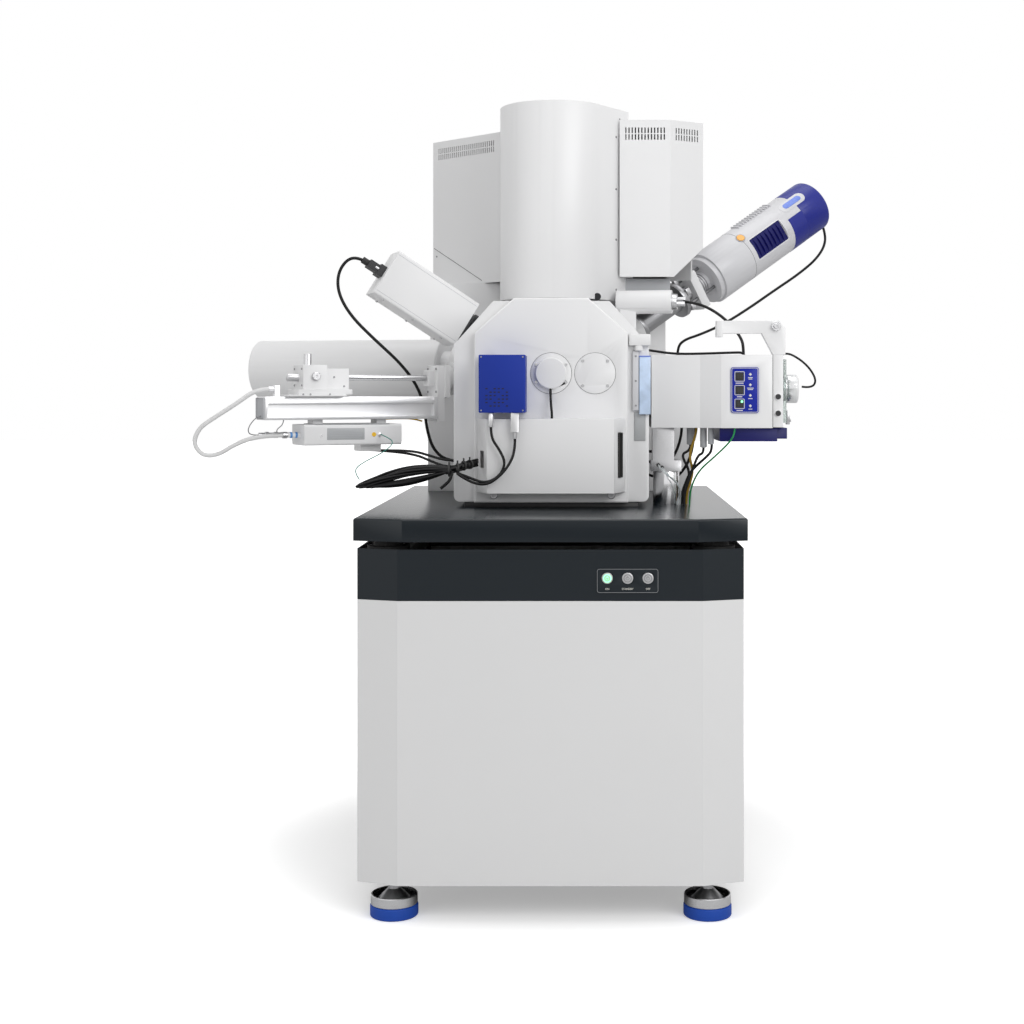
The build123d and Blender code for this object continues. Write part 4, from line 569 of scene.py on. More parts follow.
FAR = 4000.0
ZONES: dict[str, tuple[Zone, ...]] = {
    "door_control_box": (Zone(ALUMINIUM, (-FAR, -FAR, 0.0), (FAR, FAR, 1036.8)),),
    "box_detector": (
        Zone(DARK_GREY, (0.0, -FAR, -FAR), (282.8, FAR, FAR), BOX_PORT),
        Zone(DARK_GREY, (515.2, -FAR, -FAR), (FAR, FAR, FAR), BOX_PORT),
    ),
    "airlock_camera": (Zone(CHROME, (-FAR, -FAR, -FAR), (551.8, FAR, FAR)),),
    "airlock_stand": (Zone(CHROME, (235.0, -300.0, 821.0), (320.0, -200.0, 905.0)),),
    "probe_carriage": (
        Zone(STEEL, (598.2, -FAR, -FAR), (FAR, -40.2, FAR), PROBE_PORT),
        Zone(STEEL, (598.2, -FAR, 29.2), (FAR, FAR, FAR), PROBE_PORT),
        Zone(STEEL, (657.3, -9.5, -9.5), (FAR, 9.5, 9.5), PROBE_PORT),
        Zone(STEEL, (-FAR, -28.0, -28.0), (541.0, 28.0, 28.0), PROBE_PORT),
    ),
    "tube_detector": (Zone(STEEL, (295.9, -FAR, -FAR), (FAR, FAR, FAR), TUBE_PORT),),
}


@dataclass
class NodeDresser:
    """Gives every CAD node its material, rounded edges and shading.

    Attributes:
        finishes: finish and edge rounding in millimetres for each node.
        folded: sheet nodes whose shallow folds stay crisp.
    """

    finishes: dict[str, tuple[Finish, float]]
    folded: tuple[str, ...] = ("front_panel", "control_band", "cabinet_panels", "table_top",
                               "left_rear_cover",
                               "right_rear_cover")

    def dress(self) -> None:
        """Dress each node that has a finish."""
        for name, (finish, edge) in self.finishes.items():
            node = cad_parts[name]
            node.data.materials.clear()
            node.data.materials.append(finish.material())
            node.data.polygons.foreach_set("use_smooth", np.ones(len(node.data.polygons), bool))
            self.mark_zones(node, ZONES.get(name, ()))
            self.soften(node, edge)
            log.info("node %s in %s", name, finish.name)

    def mark_zones(self, node: bpy.types.Object, zones: Sequence[Zone]) -> None:
        """Give the faces of each zone their own finish."""
        mesh = node.data
        centres = np.empty(len(mesh.polygons) * 3)
        mesh.polygons.foreach_get("center", centres)
        index = np.zeros(len(mesh.polygons), np.int32)
        for slot, zone in enumerate(zones, 1):
            mesh.materials.append(zone.finish.material())
            index[zone.mask(centres.reshape(-1, 3))] = slot
        mesh.polygons.foreach_set("material_index", index)

    def soften(self, node: bpy.types.Object, edge: float) -> None:
        """Weld the loose triangles, merge flat ones, and round the sharp edges.

        Args:
            node: CAD node object.
            edge: rounding in millimetres; with 0 the edges stay sharp.
        """
        crease = math.radians(12 if node.name in self.folded else 30)
        weld = node.modifiers.new("weld", "WELD")
        weld.merge_threshold = 2e-6
        if edge > 0:
            flat = node.modifiers.new("flat", "DECIMATE")
            flat.decimate_type = "DISSOLVE"
            flat.angle_limit = math.radians(1.0)
            flat.delimit = {"MATERIAL"}
            bevel = node.modifiers.new("edge", "BEVEL")
            bevel.width = edge * MM
            bevel.segments = 2
            bevel.limit_method = "ANGLE"
            bevel.angle_limit = crease
            bevel.harden_normals = True
        else:
            split = node.modifiers.new("split", "EDGE_SPLIT")
            split.split_angle = crease


# Cords

def spline_line(route: Array, steps: int = 12) -> Array:
    """Read the line of the NURBS spline that has the route as its control points.

    Args:
        route: (n, 3) control points in metres.
        steps: resolution of each span.

    Returns:
        The points along the spline, in order.
    """
    curve = route_curve("route_probe", route, 0.0, steps)
    mesh = bpy.data.meshes.new_from_object(curve)
    line = np.empty(len(mesh.vertices) * 3)
    mesh.vertices.foreach_get("co", line)
    data = curve.data
    bpy.data.objects.remove(curve)
    bpy.data.curves.remove(data)
    bpy.data.meshes.remove(mesh)
    return line.reshape(-1, 3)


def route_curve(name: str, route: Array, radius: float, steps: int = 12) -> bpy.types.Object:
    """Make a NURBS curve object with the route as control points.

    Args:
        name: object name.
        route: (n, 3) control points in metres.
        radius: bevel radius in metres; 0 gives a bare line.
        steps: resolution of each span.

    Returns:
        The linked curve object.
    """
    data = bpy.data.curves.new(name, "CURVE")
    data.dimensions = "3D"
    data.resolution_u = steps
    data.bevel_depth = radius
    data.bevel_resolution = 5
    data.use_fill_caps = radius > 0
    spline = data.splines.new("NURBS")
    spline.points.add(len(route) - 1)
    spline.points.foreach_set("co", np.column_stack([route, np.ones(len(route))]).ravel())
    spline.order_u = 3
    spline.use_endpoint_u = True
    curve = bpy.data.objects.new(name, data)
    bpy.context.scene.collection.objects.link(curve)
    bpy.context.view_layer.update()
    return curve


def line_length(line: Array) -> float:
    """Add up the distances between the points of a line."""
    return float(np.linalg.norm(np.diff(line, axis=0), axis=1).sum())


def sweep_tube(line: Array, radii: Array, segments: int = 16) -> Shell:
    """Carry a circle along a line: each ring lies square to the line, in a frame that doesn't twist.

    Args:
        line: (n, 3) centre points.
        radii: radius at each point.
        segments: points round each ring.

    Returns:
        Vertices and faces.
    """
    tangent = np.gradient(line, axis=0)
    tangent /= np.linalg.norm(tangent, axis=1, keepdims=True)
    normals = np.empty_like(line)
    start = np.cross(tangent[0], [0.0, 0.0, 1.0])
    if np.linalg.norm(start) < 0.1:
        start = np.cross(tangent[0], [1.0, 0.0, 0.0])
    current = start / np.linalg.norm(start)
    for k, direction in enumerate(tangent):
        current = current - direction * np.dot(current, direction)
        current /= np.linalg.norm(current)
        normals[k] = current
    other = np.cross(tangent, normals)
    t = np.linspace(0, 2 * np.pi, segments, endpoint=False)
    rings = (np.cos(t)[None, :, None] * normals[:, None, :] + np.sin(t)[None, :, None] * other[:, None, :])
    return grid_shell(line[:, None, :] + rings * radii[:, None, None], False, True, True)


@dataclass
class Cord:
    """A free cord that lies along a chosen route.

    Attributes:
        name: piece name.
        route: control points in the row frame, in metres.
        diameter: millimetres.
        body: body the cord moves with.
        finish: surface finish.
        node: CAD node that the cord stands for, if it has one.
        lay: how the cord lies; not used.
        stiffness: how stiff it is; not used.
        far_end: what is on its far end; not used.
    """

    name: str
    route: Array
    diameter: float
    body: str = MACHINE
    finish: Finish = CABLE
    node: str | None = None
    lay: str = "loose"
    stiffness: str = "medium"
    far_end: str = "object"

    def build(self) -> bpy.types.Object:
        made = route_curve(self.name, self.route, self.diameter * MM / 2)
        made.data.materials.append(self.finish.material())
        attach(made, self.body)
        if self.node:
            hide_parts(self.node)
        self.declare()
        return made

    def declare(self, line: Array | None = None) -> None:
        """Work out the cord's length along its line and log it."""
        length = line_length(spline_line(self.route) if line is None else line)
        log.info("cord %s, %.0f mm", self.name, length / MM)

    def build_tube(self, radii: Callable[[Array], Array],
                   blend: tuple[str, str] | None = None) -> bpy.types.Object:
        """Make the cord as a mesh tube whose radius follows a function of the distance along it.

        Args:
            radii: gives the radius in metres for each distance in metres.
            blend: the two bodies that the tube runs between, if it crosses a joint; then the tube is fixed
                in the row frame and joins no body.

        Returns:
            The tube.
        """
        coarse = spline_line(self.route, 24)
        run = np.concatenate([[0], np.cumsum(np.linalg.norm(np.diff(coarse, axis=0), axis=1))])
        samples = np.linspace(0, run[-1], max(60, int(run[-1] / 0.0009)))
        line = np.stack([np.interp(samples, run, coarse[:, k]) for k in range(3)], -1)
        points, faces = sweep_tube(line, radii(samples))
        made = new_mesh(self.name, points, faces)
        made.data.materials.append(self.finish.material())
        if self.node:
            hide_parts(self.node)
        if blend:
            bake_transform(made)
        else:
            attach(made, self.body)
        self.declare(line[::8] if len(line) % 8 == 1 else np.vstack([line[::8], line[-1:]]))
        return made


def machine_route(points: Sequence[tuple[float, float, float]]) -> Array:
    """Turn route points in machine millimetres into the row frame."""
    return np.array([at(*p) for p in points])


@dataclass
class Cables:
    """The free cords of the instrument.

    Attributes:
        rib_pitch: distance between two ribs of the hose, in metres.
        knot: where the hank is tied, in machine millimetres.
    """

    rib_pitch: float = 0.0036
    knot: tuple[float, float, float] = (-214.0, -464.0, 913.0)

    def build(self) -> None:
        """Build every cord."""
        self.hose()
        self.detector_cable()
        self.xray_cable()
        self.control_cables()
        self.hank()
        self.trunk()

    def hose(self) -> None:
        """Corrugated hose from the rail's fitting round to the preamplifier."""
        preamp_mid = (960.0 + 1008.0) / 2 - 1116.0
        fitting_z = 1072.0 - 1116.0 + 17.0
        route = np.vstack([
            PROBE_PORT.point(727.0, 0, fitting_z), PROBE_PORT.point(755.0, 0, fitting_z),
            machine_route([
                (-722.0, -354.0, 1056.0), (-772.0, -357.0, 1024.0), (-806.0, -356.0, 1001.0),
                (-820.0, -354.0, 967.0), (-800.0, -352.0, 938.0), (-764.0, -350.0, 939.0),
                (-722.0, -352.0, 966.0),
            ]),
            PROBE_PORT.point(749.0, 14, preamp_mid), PROBE_PORT.point(687.0, 14, preamp_mid),
        ])

        def ribbed(distance: Array) -> Array:
            """Radius of a row of rounded ribs: a cosine of the distance."""
            return 0.0053 - 0.00055 * (0.5 - 0.5 * np.cos(2 * np.pi * distance / self.rib_pitch))

        Cord("ribbed_hose", route, 10.6, finish=HOSE, node="probe_hose",
             stiffness="limp").build_tube(ribbed)

    def detector_cable(self) -> None:
        """Cable of the box detector, behind the rail and down to the chamber's side."""
        route = np.vstack([
            BOX_PORT.point(557.0, 0, 0), BOX_PORT.point(581.0, 0, 0),
            machine_route([
                (-497.0, -176.0, 1401.0), (-520.0, -178.0, 1366.0), (-519.0, -178.0, 1318.0),
                (-489.0, -177.0, 1264.0), (-432.0, -170.0, 1207.0), (-374.0, -146.0, 1152.0),
                (-338.0, -118.0, 1100.0), (-322.0, -92.0, 1048.0), (-319.0, -68.0, 990.0),
                (-303.0, -58.0, 938.0), (-268.0, -56.0, 912.0), (-228.3, -56.0, 912.0),
            ]),
        ])
        Cord("box_cable", route, 7.5, node="box_detector_cable", stiffness="medium").build()

    def xray_cable_route(self) -> Array:
        """Route of the X-ray detector's cable, from its plug to the rear chassis."""
        return np.vstack([
            XRAY_PORT.point(981.0, 0, -46.0), XRAY_PORT.point(981.0, 0, -78.0),
            machine_route([
                (741.0, 455.0, 1497.0), (709.0, 414.0, 1450.0), (652.0, 378.0, 1404.0),
                (584.0, 338.0, 1359.0),
                (512.0, 305.0, 1309.0), (440.0, 280.0, 1264.0), (377.0, 266.0, 1236.0),
                (334.0, 262.0, 1222.0),
                (316.0, 262.0, 1203.0), (316.0, 262.0, 1180.3),
            ]),
        ])

    def xray_cable(self) -> None:
        """Fixed cable between the sliding X-ray detector and the chassis."""
        cord = Cord("xray_lead", self.xray_cable_route(), 7.0, node="xray_cable")
        cord.build_tube(lambda distance: np.full(len(distance), 0.0035), (MACHINE, XRAY))

    def control_cables(self) -> None:
        """Two cables from the blue box on the door to the hank."""
        x, y, z = self.knot
        left = machine_route([
            (-137.0, -448.6, 1005.0), (-137.0, -448.6, 981.0), (-118.0, -450.0, 955.0),
            (-104.0, -451.0, 925.0),
            (-119.0, -452.0, 895.0), (-150.0, -454.0, 881.0), (-183.0, -457.0, 893.0),
            (x + 4, -457.0, z - 9),
        ])
        right = machine_route([
            (-84.0, -448.6, 979.0), (-84.0, -448.6, 957.0), (-92.0, -456.0, 929.0), (-114.0, -464.0, 899.0),
            (-146.0, -468.0, 877.0), (-184.0, -469.0, 885.0), (x + 4, -471.0, z - 9),
        ])
        Cord("control_lead_left", left, 6.0, DOOR, node="control_cable_left").build()
        Cord("control_lead_right", right, 6.0, DOOR, node="control_cable_right").build()

    def hank(self) -> None:
        """Tied loops of cable, long and flat, that hang out from the knot towards the left.

        Each strand is a loop with an angle t: along = cos t runs from the knot to the far end, the loop's
        height follows sin t, and its lane moves a little from strand to strand.
        """
        x0, y0, z0 = self.knot
        turns, per_turn = 12, 12
        k = np.arange(turns * per_turn + 1)
        angle = 2 * np.pi * k / per_turn
        turn = k / per_turn
        along = (1 - np.cos(angle)) / 2
        layer = np.cos(2.4 * turn)
        lane = np.sin(2.4 * turn + 0.6)
        reach = 196.0 + 16.0 * np.sin(1.7 * turn)
        x = x0 - 8.0 - reach * along
        half_height = (12.0 + 7.0 * layer) * (0.45 + 0.55 * np.sin(np.pi * np.clip(along, 0, 1)) ** 0.7)
        z = z0 - 2.0 - 36.0 * along ** 1.3 + half_height * np.sin(angle) + 2.0 * layer
        y = y0 - 2.0 + 13.0 * lane * (0.5 + 0.5 * along) + 2.0 * np.sin(3 * angle + turn)
        route = np.array([at(*p) for p in zip(x, y, z)])
        Cord("hank_loops", route, 5.4, DOOR, node="cable_hank", lay="coiled", stiffness="limp").build()

    def trunk(self) -> None:
        """Bundle from the knot into the door cover's side, with its zip ties and one end that hangs down."""
        x0, y0, z0 = self.knot
        lanes = [(0.0, 0.0), (5.6, 1.5), (-5.4, 2.0), (1.5, 6.2), (0.5, -6.0)]
        for k, (dy, dz) in enumerate(lanes):
            run = [(x0 - 22, y0 + dy, z0 + dz - 3), (x0, y0 + dy * 0.9, z0 + dz * 0.9),
                   (x0 + 18, y0 + 12 + dy, z0 + 7 + dz),
                   (x0 + 34, y0 + 36 + dy, z0 + 10 + dz), (x0 + 44, y0 + 54 + dy, z0 + 12 + dz)]
            Cord(f"trunk_{k}", machine_route(run), 6.2, DOOR, stiffness="medium").build()
        end = [(x0 - 6, y0 - 9, z0 - 4), (x0 - 8, y0 - 11, z0 - 16), (x0 - 16, y0 - 11, z0 - 30),
               (x0 - 32, y0 - 9, z0 - 42)]
        Cord("loose_end", machine_route(end), 7.0, DOOR, far_end="bare", stiffness="medium").build()
        ties = []
        for x, y, z, r, lean in ((x0 - 14, y0 - 1, z0 - 3, 13.5, 0.0), (x0 + 4, y0 + 3, z0 + 1, 12.0, 0.3),
                                 (x0 + 17, y0 + 12, z0 + 7, 11.0, 0.6),
                                 (x0 + 29, y0 + 28, z0 + 9, 10.5, 0.9)):
            turn = np.array([[math.cos(lean), math.sin(lean), 0], [-math.sin(lean), math.cos(lean), 0],
                             [0, 0, 1]])
            ties.append(moved(ring_band(r - 1.4, r, -2.0, 2.0), x, y, z, turn))
            ties.append(slab(x - 1.6, x + 1.6, y - 3, y + 3, z + r - 1.5, z + r + 6.0, 0.8, 0.4))
            ties.append(slab(x - 1.6, x + 1.6, y - r - 5, y - r + 1.5, z - 3, z + 3, 0.8, 0.4))
        piece("zip_ties", ties, BLACK, DOOR)


# Details

def stud(radius: float, height: float, bevel: float = 0.4, socket: float = 0.0,
         segments: int = 24) -> Shell:
    """Round head along +x from the surface at 0, with a bevelled rim and an optional round socket.

    Args:
        radius: radius of the head.
        height: how far it stands out.
        bevel: width of the rim's bevel.
        socket: radius of the socket, or 0 for none.
        segments: points round the head.

    Returns:
        Vertices and faces.
    """
    profile = [(-0.2, 0.01), (-0.2, radius), (height - bevel, radius), (height, radius - bevel)]
    if socket:
        profile += [(height, socket), (height * 0.35, socket * 0.95), (height * 0.35, 0.01)]
    else:
        profile += [(height, 0.01)]
    return spin(profile, segments)


def ring_band(inner: float, outer: float, x0: float, x1: float, segments: int = 48) -> Shell:
    """Closed band about the x axis with slightly rounded corners, as a grid wrapped both ways."""
    e = min(outer - inner, x1 - x0) * 0.22
    section = np.array([(x0 + e, inner), (x1 - e, inner), (x1, inner + e), (x1, outer - e), (x1 - e, outer),
                        (x0 + e, outer), (x0, outer - e), (x0, inner + e)], float)
    t = np.linspace(0, 2 * np.pi, segments, endpoint=False)
    x = np.repeat(section[:, :1], segments, axis=1)
    points = np.stack([x, section[:, 1:] * np.cos(t), section[:, 1:] * np.sin(t)], -1)
    return grid_shell(points, True, True, False)


def frame_line(w: float, h: float, r: float, line: float, thick: float) -> Shell:
    """Thin raised line round a rounded rectangle in the x-y plane, as nested outlines."""
    outer = rounded_rectangle(w, h, r)
    inner = rounded_rectangle(w - 2 * line, h - 2 * line, max(r - line, 0.1))
    rows = [(outer, 0.0), (outer, thick), (inner, thick), (inner, 0.0)]
    points = np.stack([np.column_stack([o, np.full(len(o), z)]) for o, z in rows])
    return grid_shell(points, True, True, False)


def slab(x0: float, x1: float, y0: float, y1: float, z0: float, z1: float, r: float = 0.6,
         edge: float = 0.3) -> Shell:
    """Rounded block between two corners."""
    block = cushion_block((x1 - x0, y1 - y0, z1 - z0), r, edge)
    return moved(block, (x0 + x1) / 2, (y0 + y1) / 2, (z0 + z1) / 2)


def facing_front(shell: Shell, x: float, y: float, z: float) -> Shell:
    """Turn a shell so that its own x axis points to the front, and move it."""
    return moved(shell, x, y, z, AXIS_X_TO_FRONT)


def flat_front(shell: Shell, x: float, y: float, z: float) -> Shell:
    """Stand a shell drawn in its x-y plane upright, facing the front, and move it."""
    return moved(shell, x, y, z, FACE_FRONT)


def lettering(name: str, words: Sequence[tuple[str, float, float, float]], size: float, body: str,
              finish: Finish) -> None:
    """Small generic words on a front face.

    Args:
        name: piece name.
        words: text with the machine position of its middle.
        size: letter size in millimetres.
        body: body it moves with.
        finish: surface finish.
    """
    shells = []
    for text, x, y, z in words:
        data = bpy.data.curves.new(name, "FONT")
        data.body, data.size, data.align_x, data.extrude = text, size, "CENTER", 0.06
        holder = bpy.data.objects.new(name, data)
        bpy.context.scene.collection.objects.link(holder)
        bpy.context.view_layer.update()
        mesh = bpy.data.meshes.new_from_object(holder.evaluated_get(bpy.context.evaluated_depsgraph_get()))
        points = np.empty(len(mesh.vertices) * 3)
        mesh.vertices.foreach_get("co", points)
        faces = [list(p.vertices) for p in mesh.polygons]
        bpy.data.objects.remove(holder)
        shells.append(flat_front((points.reshape(-1, 3), faces), x, y, z))
    piece(name, shells, finish, body)


@dataclass
class PlinthDetails:
    """Foot rubbers and power panel.

    Attributes:
        foot_x: half distance between the feet.
        foot_y: front and rear foot lines.
        button_x: the three buttons.
        button_z: height of the buttons.
        panel_z: middle of the panel's outline.
        words_z: foot of the words.
        face_y: front of the bezel.
    """

    foot_x: float = 328.0
    foot_y: tuple[float, float] = (-629.0, 396.0)
    button_x: tuple[float, float, float] = (117.5, 159.5, 201.5)
    button_z: float = 699.5
    panel_z: float = 694.0
    words_z: float = 675.6
    face_y: float = -684.5

    def build(self) -> None:
        """Build every piece."""
        self.rubbers()
        self.power_panel()

    def rubbers(self) -> None:
        """Black rubber rings inside the metal cups."""
        ring = moved(ring_band(33.6, 39.0, 18.4, 27.0), turn=AXIS_X_TO_Z)
        floor = moved(ring_band(38.4, 44.6, 18.3, 21.5), turn=AXIS_X_TO_Z)
        shells = [moved(s, x, y, 0) for s in (ring, floor) for x in (-self.foot_x, self.foot_x)
                  for y in self.foot_y]
        piece("foot_rubbers", shells, RUBBER)

    def power_panel(self) -> None:
        """Outline, words and button faces of the power panel."""
        outline = frame_line(126.0, 49.0, 5.0, 0.9, 0.2)
        piece("panel_outline", [flat_front(outline, self.button_x[1], self.face_y, self.panel_z)],
              PRINT_GREY)
        words = [(t, x, self.face_y, self.words_z) for t, x in zip(("ON", "STANDBY", "OFF"), self.button_x)]
        lettering("panel_words", words, 5.4, MACHINE, CREAM)
        names = (("on_rim", "on_key"), ("standby_rim", "standby_key"), ("off_rim", "off_key"))
        for (name, body), x in zip(names, self.button_x):
            finish = LIT_GREEN if body == "on_key" else GREY_STEEL
            rim = ring_band(6.4, 8.6, 0.0, 0.35)
            mark = slab(0.0, 0.5, -0.7, 0.7, 0.6, 4.6)
            dial = ring_band(2.6, 3.7, 0.0, 0.4)
            face = self.face_y - 2.5
            shells = [facing_front(s, x, face, self.button_z) for s in (rim, mark, dial)]
            piece(name, shells, finish, body)


@dataclass
class ColumnDetails:
    """Screws, seams and the small parts round the column's covers."""

    flank: Port = Port(145.6, 0.0, 0.0)

    def build(self) -> None:
        """Build every piece."""
        heights = (1719.0, 1589.0, 1463.0, 1338.0)
        screws = [moved(stud(2.7, 1.4, socket=1.3), 129.5, 81.6, z) for z in heights]
        screws.append(moved(stud(2.0, 1.2, socket=0.9), 129.5, 98.0, 1766.0))
        piece("flank_screws", screws, GREY_STEEL, place=self.flank.place)
        self.left_seam()
        # The notch is a thin near-black disc on the cover: painted shade of the hollow.
        notch = stud(9.0, 1.2, 0.3)
        piece("column_notch_shade", [facing_front(notch, 100.0, -82.0, 1316.0)], HOLLOW_SHADE)
        piece("recess_plate", [slab(158.0, 284.0, 30.0, 42.0, 1322.0, 1368.0, 2.0, 1.0)], LABEL)

    def left_seam(self) -> None:
        """Thin slanting seam and a screw on the left rear cover."""
        u = np.array([0.7295, -0.6839])
        normal = np.array([-0.6839, -0.7295])
        start, along, z = np.array([-346.0, 355.0]), (4.0, 195.0), (1474.0, 1377.0)
        corners = []
        for lift in (-0.2, 0.35):
            for k, dz in ((0, -0.8), (0, 0.8), (1, 0.8), (1, -0.8)):
                x, y = start + u * along[k] + normal * lift
                corners.append((x, y, z[k] + dz))
        faces = [[0, 1, 2, 3], [7, 6, 5, 4], [0, 4, 5, 1], [1, 5, 6, 2], [2, 6, 7, 3], [3, 7, 4, 0]]
        piece("cover_seam", [(np.array(corners), faces)], SEAM)
        x, y = start + u * 15.0
        turn = np.array([[-0.6839, -0.7295, 0], [0.7295, -0.6839, 0], [0, 0, 1]])
        piece("cover_screw", [moved(stud(2.6, 1.4, socket=1.2), x, y, 1451.0, turn)], GREY_STEEL)


@dataclass
class DoorDetails:
    """Pieces on the sliding door and beside it.

    Attributes:
        plate_y: front face of the door plate.
        box_y: front face of the blue box.
        round_y: front face of the two round flanges.
        flange_x: middles of the camera's flange and the blank one.
        flange_z: height of both flanges.
    """

    plate_y: float = -375.3
    round_y: float = -376.8
    box_y: float = -461.6
    flange_x: tuple[float, float] = (-6.0, 93.5)
    flange_z: float = 1125.0

    def build(self) -> None:
        """Build every piece."""
        # The vent slots are flat near-black slabs on the box face: painted shade of the openings.
        cells = [(i, j) for i in range(6) for j in range(6) if (i * 5 + j * 3) % 4]
        slot = slab(-2.6, 2.6, -1.3, 1.3, 0, 0.3)
        vents = [flat_front(slot, -146.0 + 9.0 * i, self.box_y, 1052.0 + 7.6 * j) for i, j in cells]
        piece("box_vent_shade", vents, HOLLOW_SHADE, DOOR)
        lid = [facing_front(stud(1.9, 1.1, socket=0.8), x, self.box_y, z) for x in (-158.0, -66.0)
               for z in (1042.0, 1160.0)]
        piece("box_screws", lid, GREY_STEEL, DOOR)
        seams = [facing_front(ring_band(46.3, 47.0, -0.3, 0.25, 72), x, self.plate_y, self.flange_z)
                 for x in self.flange_x]
        piece("flange_seams", seams, SEAM, DOOR)
        left, right = self.flange_x
        heads = [facing_front(stud(3.6, 1.6, 0.4, 1.7), right + dx, self.round_y, self.flange_z + dz)
                 for dx in (-28, 28) for dz in (-28, 28)]
        heads += [facing_front(stud(3.0, 0.5, 0.2, 1.5), left + dx, self.round_y - 1.5, self.flange_z + dz)
                  for dx in (-34, 34) for dz in (-19.5, 19.5)]
        piece("flange_screws", heads, STEEL, DOOR)
        self.beside()
        self.levelling_knobs()
        self.camera_lead()

    def levelling_knobs(self) -> None:
        """Two knobs half hidden under the lower cover."""
        knobs = [facing_front(stud(9.0, 10.0, 1.5, 4.0), x, -402.0, 852.0) for x in (-133.0, 129.5)]
        piece("levelling_knobs", knobs, GREY_STEEL, DOOR)

    def camera_lead(self) -> None:
        """Short cable from the round camera housing down to the door cover."""
        route = machine_route([(-7.0, -386.0, 1091.5), (-7.0, -388.0, 1076.0), (-5.5, -394.0, 1052.0),
                               (-3.5, -397.0, 1034.0), (-3.5, -397.0, 1023.2)])
        Cord("camera_lead", route, 5.6, DOOR, stiffness="medium").build()

    def beside(self) -> None:
        """Shelf, hinge pin, bar, film plate and the painted shade of a recess on the chamber's front flange.
        """
        shelf = slab(170.0, 219.5, -366.0, -350.2, 1188.0, 1214.0, 3.0, 2.0)
        pin = moved(stud(9.5, 11.0, 1.5), 192.5, -358.0, 1177.0, AXIS_X_TO_Z)
        piece("flange_shelf", [shelf, pin], WHITE)
        bar = slab(178.5, 193.0, -359.0, -350.2, 1041.0, 1175.0, 2.0, 1.0)
        piece("flange_bar", [bar], SILVER)
        plate = slab(194.0, 219.5, -362.0, -350.2, 1032.0, 1162.0, 1.0, 0.6)
        piece("film_plate", [plate], FILM)
        piece("film_top", [slab(194.0, 219.5, -362.2, -350.2, 1162.2, 1165.0, 0.6, 0.3)], PALE_BLUE)
        # A grey sheet on the flange face stands in for the recess: painted shade.
        hole = slab(183.0, 208.0, -351.4, -350.2, 972.0, 1037.0, 1.5, 0.3)
        piece("flange_recess_shade", [hole], BRIGHT_GREY)
        screws = [facing_front(stud(2.2, 1.2, socket=1.0), 186.0, -359.0, z)
                  for z in (1052.0, 1108.0, 1164.0)]
        piece("bar_screws", screws, GREY_STEEL)


